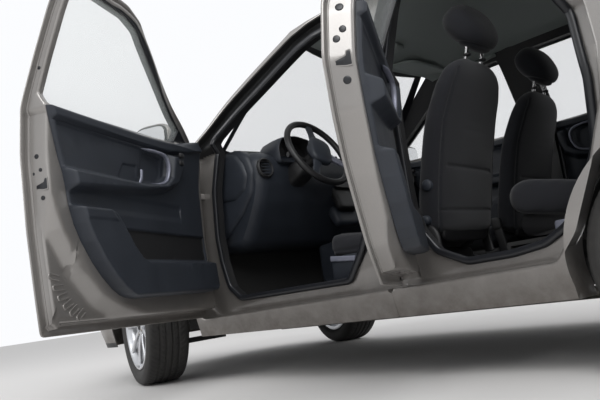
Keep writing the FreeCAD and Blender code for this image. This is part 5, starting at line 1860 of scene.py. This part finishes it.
def bumper_surface(levels, sign, relief, end_at=None, rows=110, columns=150, wall=6.0):
    """Bumper: in plan |x|^2.4 + |y|^2.4 = 1 from tip to ends per height, then back along the skin."""
    table = spline(levels, rows)
    z, tip, end_x, end_y = (table[:, k:k + 1] for k in range(4))
    angle = np.linspace(-math.pi / 2, math.pi / 2, columns)[None]
    c, s = np.abs(np.cos(angle)) ** (2 / PLAN_POWER), np.abs(np.sin(angle)) ** (2 / PLAN_POWER)
    s = s * np.sign(angle)
    faces = []
    for depth in (0.0, wall):
        x = end_x + (tip - sign * depth - end_x) * c
        y = (end_y - depth) * s
        z_grid = z + 0 * x
        sunk_by, number = relief(y, z_grid)
        x = x - sign * sunk_by
        if end_at is not None:
            back = end_at(z)
            run = np.linspace(1, 0, 9)[None, :-1]
            side_x = end_x + (back - end_x) * run
            side_y = end_y - depth + skin_y(side_x, z + 0 * side_x) - skin_y(end_x, z)
            x = np.concatenate([side_x, x, side_x[:, ::-1]], 1)
            y = np.concatenate([-side_y, y, side_y[:, ::-1]], 1)
            z_grid = z + 0 * x
            number = np.pad(number, ((0, 0), (8, 8)), mode="edge")
        faces.append(np.stack([x, y, z_grid], -1))
    closed = plate(faces[0], faces[1])
    front = np.maximum(number[:-1, :-1], number[1:, 1:])
    full = np.zeros((rows + 1, 2 * faces[0].shape[1]), int)
    full[1:-1, :front.shape[1]] = front
    return Surface(closed.points, columns=True, finish=full)


def front_relief_map(y, z):
    """How far the front bumper is sunk, and its finish: grille slots black, plate field flat."""
    lower = step(inside(y, z, [(-455, 378), (455, 378), (415, 252), (-415, 252)]), 14)
    fogs = step(inside(np.abs(y), z, [(500, 372), (610, 378), (600, 300), (520, 286)]), 10)
    upper = step(inside(y, z, [(-330, 688), (330, 688), (290, 612), (-290, 612)]), 12)
    field = step(inside(y, z, [(-268, 520), (268, 520), (268, 402), (-268, 402)]), 8)
    swage = 5 * np.exp(-((z - 556) / 11) ** 2) - 4 * np.exp(-((z - 400) / 14) ** 2)
    depth = 46 * lower + 30 * fogs + 34 * upper + 6 * field + swage
    dark = (lower > 0.45) | (fogs > 0.45) | (upper > 0.45) | (z < 214)
    return depth, dark.astype(int)


FRONT_LEVELS = [(192.0, 1985.0, 1590.0, 728.0), (300.0, 2034.0, 1600.0, 750.0),
                (420.0, 2064.0, 1600.0, 766.0), (566.0, 2056.0, 1600.0, 774.0),
                (640.0, 2028.0, 1700.0, 738.0), (698.0, 1984.0, 1760.0, 706.0)]


def plan_bar(z, y_half, tip, end_x, end_y, profile):
    """Bar following the bumper's plan curve at one height."""
    y = np.linspace(-y_half, y_half, 60)
    x = end_x + (tip - end_x) * (1 - np.abs(y / end_y) ** PLAN_POWER) ** (1 / PLAN_POWER)
    return swept(np.stack([x, y, z + 0 * y], -1), profile)


def lamp_lens(outline, front, back, round_by=10):
    """Lens over a rounded outline on the body's side: front bulging a little, back flat."""
    loop = rounded_loop(outline, 120, round_by)
    centre = loop.mean(0)
    rows = []
    for share, depth in ((0.05, front - 2), (0.3, front - 2), (0.6, front - 1.6),
                         (0.85, front - 0.8), (0.96, front), (1.0, front + 3), (1.0, back),
                         (0.9, back), (0.4, back), (0.05, back)):
        flat = centre + (loop - centre) * share
        rows.append(sunk(flat[:, 0], flat[:, 1], np.full(len(flat), float(depth))))
    return rings(np.array(rows))


def head_lamp_parts():
    """Inside of the head lamp: bright back wall and three bowls with their bulbs."""
    housing = lamp_lens(HEAD_LAMP, 62, 88, 12)
    housing.finish = 2
    parts = [housing]
    facing = (0.9, 0.45, 0.05)
    for x, z, radius, depth in ((1895.0, 722.0, 17.0, 40.0), (1835.0, 728.0, 23.0, 38.0),
                                (1768.0, 745.0, 24.0, 34.0)):
        y = float(skin_y(np.array(x), np.array(z))) - depth
        parts.append(spun([(POLE, -22), (radius * 0.55, -18), (radius * 0.9, -6), (radius, 2),
                           (radius + 2, 2), (radius + 2, -24), (POLE, -26)], (x, y, z), facing, 40, 2))
        parts.append(spun([(POLE, 0), (5, -1), (6, -8), (6, -20), (POLE, -21)], (x, y, z),
                          facing, 20, 3))
    return parts


def wiper(start, end, knee):
    """Wiper arm from its pivot to a blade lying on the glass."""
    blade = spline([knee, (knee + end) / 2 + np.array([0, 0, 3.0]), end], 24)
    arm_end = blade[12] + np.array([0, 0, 10.0])
    return [swept(blade, ellipse(3.0, 7.0, 12)),
            swept(spline([start, (start + arm_end) / 2 + np.array([0, 0, 8.0]), arm_end], 16),
                  ellipse(6, 4, 12)),
            spun([(POLE, -14), (13, -14), (13, 4), (9, 8), (POLE, 9)], start, (0, 0, 1), 24)]


class CAR_OT_nose(bpy.types.Operator):
    """Bonnet, wings, front bumper, grilles, scuttle with wipers, and head lamps."""

    bl_idname = "car.nose"
    bl_label = "Nose"

    def execute(self, context):
        under = plate(bonnet_grid(14, 12), bonnet_grid(20, 12))
        under.finish = 1
        mesh_piece("bonnet_skin", [plate(bonnet_grid(0, 0), bonnet_grid(4, 0)), under],
                   ["body_paint", "black_plastic"], "bonnet_body", "bonnet", smooth=40)
        wing = wing_surface()
        mesh_piece("front_wing_skins", [wing, wing.moved(mirror)], ["body_paint"], "car_body",
                   "front_wings", smooth=40)
        front = bumper_surface(FRONT_LEVELS, 1, front_relief_map, arch_front)
        blank = soft_box((2064, 0, 461), (7, 520, 110), 10, rows=10, columns=40, finish=2)
        mesh_piece("front_bumper_cover", [front, blank], ["body_paint", "black_plastic", "plate_blank"],
                   "car_body", None, smooth=40)
        bars = [plan_bar(z, 400, 2034, 1600, 750, ellipse(9, 4, 12, 3)) for z in (272, 298, 324, 350)]
        bars = [bar.moved(shifted(-26.0, 0)) for bar in bars]
        bars += [plan_bar(z, 310, 2012, 1680, 720, ellipse(9, 4, 12, 3)).moved(shifted(-16.0, 0))
                 for z in (630, 650, 670)]
        bars += [plan_bar(z, 440, 1966, 1740, 660, ellipse(10, 5, 12, 3)) for z in (712, 730)]
        s = np.linspace(-1, 1, 61)
        top = np.array([np.stack([x + 0 * s, s * SCUTTLE_HALF_WIDTH,
                                  edge + (centre - edge) * (1 - s ** 2)], -1)
                        for x, centre, edge in ((800.0, 985.0, 950.0), (836.0, 984.0, 948.0),
                                                (872.0, 981.0, 946.0))])
        pieces = bars + [plate(top, top - np.array([0, 0, 12.0]))]
        for y in range(-560, 561, 20):
            slat = soft_box((836, y, 0), (54, 5, 5), 4, rows=6, columns=16)
            slat.points[..., 2] += 950 + 35 * (1 - (y / SCUTTLE_HALF_WIDTH) ** 2) + 1.5
            pieces.append(slat)
        mesh_piece("grille_bars", pieces, ["black_plastic"], "car_body", "plastic_grilles",
                   smooth=50)
        arms = wiper(np.array([858.0, 420.0, 985.0]), np.array([760.0, -150.0, 1086.0]),
                     np.array([742.0, 480.0, 1062.0]))
        arms += wiper(np.array([862.0, -120.0, 998.0]), np.array([712.0, -560.0, 1070.0]),
                      np.array([790.0, -60.0, 1070.0]))
        mesh_piece("wiper_arms", arms, ["black_plastic"], "car_body", None, smooth=50)
        parts = head_lamp_parts()
        mesh_piece("head_lamp_bowls", parts + [p.moved(mirror) for p in parts],
                   ["lamp_glass", "black_plastic", "bright_metal", "bulb_glass"], "car_body", "lamps")
        lens = lamp_lens(HEAD_LAMP, 1.2, 4.5)
        mesh_piece("head_lamp_lenses", [lens, lens.moved(mirror)], ["clear_lens"], "car_body", None)
        return {"FINISHED"}


# tail: tailgate with its window, tail lamps and rear bumper; windscreen

TAILGATE_ROWS = [(600.0, 560.0, -1868.0), (800.0, 590.0, -1850.0), (1000.0, 610.0, -1800.0),
                 (1080.0, 600.0, -1730.0), (1300.0, 545.0, -1560.0), (1436.0, 500.0, -1450.0)]
TAILGATE_BOW = 25.0
REAR_GLASS = [(-470, 1362), (-540, 1075), (540, 1075), (470, 1362)]
REAR_HOLE = [(-438, 1332), (-500, 1105), (500, 1105), (438, 1332)]


def tail_table():
    """Half width and place of the tailgate's outer face on a fine table of heights."""
    return spline(TAILGATE_ROWS, 240)


def on_tail(flat, depth):
    """Points at a depth in front of the tailgate's outer face, from (y, z) pairs."""
    table = tail_table()
    y, z = flat[..., 0], flat[..., 1]
    half = np.interp(z, table[:, 0], table[:, 1])
    x = np.interp(z, table[:, 0], table[:, 2]) + TAILGATE_BOW * (y / half) ** 2
    return np.stack([x + depth, y, z], -1)


def tailgate_surface():
    """Tailgate panel from the window's lip to the folded edge, with the plate's recess and a lip."""
    table = tail_table()
    left = [(half - 3, z) for z, half in table[::12, :2]]
    outline = left + [(-y, z) for y, z in reversed(left)]
    centre = np.array([0.0, 1210.0])
    edge = rounded_loop(outline, 600, 16)
    hole = seen_from(centre, REAR_HOLE, 24, edge)
    lip = seen_from(centre, REAR_GLASS, 24, edge)
    rows = []
    section = ([(0, 0.0, 34.0), (0, 0.0, 20.0), (0, 0.3, 16.0), (0, 0.95, 15.5),
                (1, 0.0, 3.0), (1, 0.01, 0.8), (1, 0.03, 0.0)]
               + [(1, share, 0.0) for share in (0.06, 0.12, 0.18, 0.25, 0.32, 0.4, 0.48, 0.56, 0.64,
                                                0.72, 0.8, 0.87, 0.93, 0.97)]
               + [(1, 0.99, 0.6), (1, 1.0, 2.5), (1, 1.0, 8.0), (1, 0.96, 9.0),
                  (1, 0.94, 22.0), (1, 0.9, 34.0), (1, 0.4, 36.0)])
    dark = []
    for outer, share, depth in section:
        first, second = (lip, edge) if outer else (hole, lip)
        flat = first + (second - first) * share
        y, z = flat[:, 0], flat[:, 1]
        sunk_by = np.full(len(flat), depth)
        if depth < 0.5 and outer:
            field = step(inside(y, z, [(-285, 812), (285, 812), (275, 684), (-275, 684)]), 12)
            grip = step(inside(y, z, [(-120, 850), (120, 850), (115, 828), (-115, 828)]), 8)
            crease = 5 * np.exp(-((z - 905) / 14) ** 2) - 6 * np.exp(-((z - 940) / 30) ** 2)
            roof_lip = -26 * step(z - 1392, 44)
            sunk_by = sunk_by + 20 * field + 16 * grip + crease + roof_lip
        rows.append(on_tail(flat, sunk_by))
        dark.append(np.full(len(flat), int(not outer)))
    return Surface(np.array(rows), rows=True, columns=True, finish=np.array(dark))


def rear_pane(depth, thick):
    """Rear glass inside the tailgate's lip."""
    loop = rounded_loop([(y * 0.985, 1075 + (z - 1075) * 0.98 + 4) for y, z in REAR_GLASS], 240, 26)
    centre = loop.mean(0)
    rows, number = [], []
    for share, extra in ((0.02, 0), (0.3, 0), (0.6, 0), (0.8, 0), (0.9, 0), (1.0, 0), (1.0, thick),
                         (0.9, thick), (0.6, thick), (0.02, thick)):
        rows.append(on_tail(centre + (loop - centre) * share, np.full(len(loop), depth + extra)))
        number.append(int(0.85 < share))
    grid = rings(np.array(rows))
    full = np.zeros((len(rows) + 1, len(loop)), int)
    full[1:-1] = np.minimum(number[1:], number[:-1])[:, None]
    grid.finish = full
    return grid


def tail_lamp_surface():
    """Tail lamp round the corner: rounded sections between its front line and its rear face."""
    z = np.linspace(652, 972, 60)[:, None]
    front = np.interp(z, [650, 900, 980], [-1796.0, -1788.0, -1802.0])
    back = np.interp(z, [650, 900, 960, 980], [-1849.0, -1855.0, -1830.0, -1806.0])
    outer = skin_y((front + back) / 2, z) - 1.5
    shape = ellipse(1.0, 1.0, 56, 5.0)[None]
    shrink = 1 - 0.35 * np.clip((z - 955) / 20, 0, 1) ** 2 - 0.15 * np.clip((665 - z) / 14, 0, 1) ** 2
    x = (front + back) / 2 + shape[..., 0] * (front - back) / 2 * shrink
    y = outer - 30 + shape[..., 1] * 30 * shrink
    grid = rings(np.stack([x, y, z + 0 * x], -1))
    number = np.zeros((61, 56), int)
    number[1:-1] = ((z[:-1] > 742) & (z[:-1] < 800)) * 1
    grid.finish = number
    return grid


def rear_relief_map(y, z):
    """How far the rear bumper is sunk, and its finish: black foot, a step line, two reflectors."""
    foot = 8 * step(296 - z, 10)
    line = 5 * np.exp(-((z - 470) / 12) ** 2) - 5 * np.exp(-((z - 500) / 16) ** 2)
    tow = 3 * step(inside(np.abs(y), z, [(330, 450), (400, 450), (400, 400), (330, 400)]), 6)
    lens = inside(np.abs(y), z, [(480, 372), (620, 372), (620, 346), (480, 346)]) > 0
    return foot + line + tow, np.where(lens, 2, (z < 300).astype(int))


REAR_LEVELS = [(232.0, -1850.0, -1578.0, 708.0), (300.0, -1884.0, -1580.0, 738.0),
               (400.0, -1910.5, -1590.0, 766.0), (500.0, -1912.5, -1640.0, 768.0),
               (588.0, -1909.5, -1684.0, 760.0)]


def windscreen_grid(depth):
    """Windscreen: x falls from the middle to the sides as s squared."""
    table = spline([(1012.0, 628.0, 850.0, 700.0), (1240.0, 596.0, 560.0, 430.0),
                    (1438.0, 490.0, 277.0, 197.0)], 60)
    s = np.linspace(-1, 1, 81)[None]
    z, half, middle, edge = (table[:, k:k + 1] for k in range(4))
    return np.stack([middle + (edge - middle) * s ** 2 - depth, s * half, z + 0 * s], -1)


def windscreen_surface():
    """Windscreen as a thin plate with a black band round its edge."""
    screen = plate(windscreen_grid(0.5), windscreen_grid(6.0))
    s = np.abs(np.linspace(-1, 1, 81))[:-1]
    row = np.arange(59)[:, None]
    band = (s > 0.93)[None] | (row < 4) | (row > 55)
    edge = np.ones((61, 162), int)
    edge[1:-1, :80] = band
    edge[1:-1, 81:161] = band[:, ::-1]
    screen.finish = edge
    return screen


class CAR_OT_tail(bpy.types.Operator):
    """Tailgate, its glass, tail lamps, rear bumper and the windscreen."""

    bl_idname = "car.tail"
    bl_label = "Tail"

    def execute(self, context):
        table = tail_table()
        panel = tailgate_surface()
        x = float(np.interp(742, table[:, 0], table[:, 2]))
        blank = soft_box((x + 15, 0, 745), (7, 520, 110), 10, rows=10, columns=40, finish=2)
        pull = swept(spline([(x + 16, -105, 846), (x - 2, -90, 844), (x - 2, 90, 844),
                             (x + 16, 105, 846)], 30), ellipse(8, 7, 14))
        mesh_piece("tailgate_skin", [panel, blank, pull],
                   ["body_paint", "black_plastic", "plate_blank"], "tailgate_body", "tailgate",
                   smooth=40)
        arm_line = [on_tail(np.array([y, z]), depth) for y, z, depth in
                    ((20.0, 1092.0, 2.0), (-60.0, 1104.0, -6.0), (-330.0, 1128.0, 2.0))]
        arm = swept(spline(arm_line, 24), ellipse(7, 5, 12), finish=2)
        mesh_piece("rear_window_pane", [rear_pane(9.0, 4.0), arm],
                   ["window_glass", "seal_rubber", "black_plastic"], "tailgate_body", "tailgate_glass",
                   smooth=40)
        tail_lamp = tail_lamp_surface()
        mesh_piece("tail_lamp_lenses", [tail_lamp, tail_lamp.moved(mirror)],
                   ["red_lens", "lamp_glass"], "car_body", None, smooth=40)
        rear = bumper_surface(REAR_LEVELS, -1, rear_relief_map)
        mesh_piece("rear_bumper_cover", [rear], ["body_paint", "black_plastic", "red_lens"], "car_body",
                   "bumpers", smooth=40)
        mesh_piece("windscreen_pane", [windscreen_surface()], ["window_glass", "seal_rubber"],
                   "car_body", "windscreen", smooth=40)
        return {"FINISHED"}


# stage

FLOOR_REACH = 30.0
# name, place, point it is aimed at, power in watts, size in metres
LIGHTS = (("key", (-3.5, 4.5, 5.0), (0, 0.8, 0.6), 260, 4.0),
          ("side", (4.0, 5.5, 3.0), (0, 0.8, 0.6), 120, 3.0),
          ("back", (-5.0, -4.0, 4.0), (0, 0, 1.0), 150, 4.0))
# the camera that was fitted to the photograph: place in metres, then yaw, pitch and roll
CAMERA_PLACE = (-1.5496, 2.5358, 0.3173)
CAMERA_DEGREES = (-47.28, 8.56, -8.18)


class CAR_OT_stage(bpy.types.Operator):
    """Floor, soft light and the camera at the photograph's place."""

    bl_idname = "car.stage"
    bl_label = "Stage"

    def execute(self, context):
        floor_finish = Finish("floor", Roughness=0.9, Base_Color=(0.62, 0.61, 0.60, 1))
        floor = bpy.data.meshes.new("floor")
        floor.from_pydata([(x * FLOOR_REACH, y * FLOOR_REACH, 0)
                           for x, y in ((-1, -1), (1, -1), (1, 1), (-1, 1))], [], [(0, 1, 2, 3)])
        floor.materials.append(floor_finish.material)
        ground = bpy.data.objects.new("floor", floor)
        context.scene.collection.objects.link(ground)

        world = bpy.data.worlds.new("sky")
        world.use_nodes = True
        context.scene.world = world
        tree = world.node_tree
        background = tree.nodes["Background"]
        rays = tree.nodes.new("ShaderNodeLightPath")
        seen = tree.nodes.new("ShaderNodeMath")
        seen.operation = "MAXIMUM"
        tree.links.new(rays.outputs["Is Camera Ray"], seen.inputs[0])
        tree.links.new(rays.outputs["Is Transmission Ray"], seen.inputs[1])
        strength = tree.nodes.new("ShaderNodeMapRange")
        tree.links.new(seen.outputs[0], strength.inputs["Value"])
        strength.inputs["To Min"].default_value = 0.85
        strength.inputs["To Max"].default_value = 1.0
        background.inputs["Color"].default_value = (0.97, 0.98, 1.0, 1)
        tree.links.new(strength.outputs["Result"], background.inputs["Strength"])

        for name, place, aim, power, size in LIGHTS:
            lamp = bpy.data.lights.new(name, "AREA")
            lamp.energy = power
            lamp.size = size
            light = bpy.data.objects.new(name, lamp)
            light.location = place
            light.rotation_euler = (Vector(aim) - Vector(place)).to_track_quat("-Z", "Y").to_euler()
            context.scene.collection.objects.link(light)

        lens = bpy.data.cameras.new("camera")
        lens.lens = context.scene.car_sizes.camera_lens
        lens.sensor_width = 36.0
        lens.clip_start = 0.05
        camera = bpy.data.objects.new("camera", lens)
        yaw, pitch, roll = (math.radians(degrees) for degrees in CAMERA_DEGREES)
        ahead = Vector((math.cos(pitch) * math.cos(yaw), math.cos(pitch) * math.sin(yaw),
                        math.sin(pitch)))
        right = ahead.cross(Vector((0, 0, 1))).normalized()
        up = right.cross(ahead)
        right, up = (right * math.cos(roll) + up * math.sin(roll),
                     up * math.cos(roll) - right * math.sin(roll))
        turn = Matrix((right, up, -ahead)).transposed()
        camera.matrix_world = Matrix.Translation(CAMERA_PLACE) @ turn.to_4x4()
        context.scene.collection.objects.link(camera)
        context.scene.camera = camera
        context.scene.view_settings.view_transform = "Standard"
        return {"FINISHED"}


class CAR_OT_finishes(bpy.types.Operator):
    """Gives each construction node its finish."""

    bl_idname = "car.finishes"
    bl_label = "Finishes"

    def execute(self, context):
        make_finishes(context.scene.car_finish)
        for part in frame["record"]["subparts"]:
            mesh = NODES[part["node"]].data
            mesh.materials.clear()
            mesh.materials.append(FINISHES[part["material_slot"]])
        return {"FINISHED"}


class CAR_PT_panel(bpy.types.Panel):
    """Buttons for each piece of the car."""

    bl_idname = "CAR_PT_panel"
    bl_label = "Hatchback car"
    bl_space_type = "VIEW_3D"
    bl_region_type = "UI"
    bl_category = "Car"

    def draw(self, context):
        for group in (context.scene.car_finish, context.scene.car_sizes):
            for name in group.__annotations__:
                self.layout.prop(group, name)
        for operator in OPERATORS:
            self.layout.operator(operator.bl_idname)


OPERATORS = (
    CAR_OT_finishes, CAR_OT_doors, CAR_OT_trims, CAR_OT_body_sides, CAR_OT_front_seats,
    CAR_OT_rear_seat, CAR_OT_dashboard, CAR_OT_steering_wheel, CAR_OT_wheels, CAR_OT_roof,
    CAR_OT_mirrors, CAR_OT_nose, CAR_OT_tail, CAR_OT_stage,
)
CLASSES = (CarFinish, CarSizes) + OPERATORS + (CAR_PT_panel,)


def register():
    for item in CLASSES:
        bpy.utils.register_class(item)
    bpy.types.Scene.car_finish = PointerProperty(type=CarFinish)
    bpy.types.Scene.car_sizes = PointerProperty(type=CarSizes)


def unregister():
    del bpy.types.Scene.car_finish
    del bpy.types.Scene.car_sizes
    for item in reversed(CLASSES):
        bpy.utils.unregister_class(item)


def main():
    register()
    for operator in OPERATORS:
        group, name = operator.bl_idname.split(".")
        getattr(getattr(bpy.ops, group), name)()


if __name__ == "__main__":
    main()
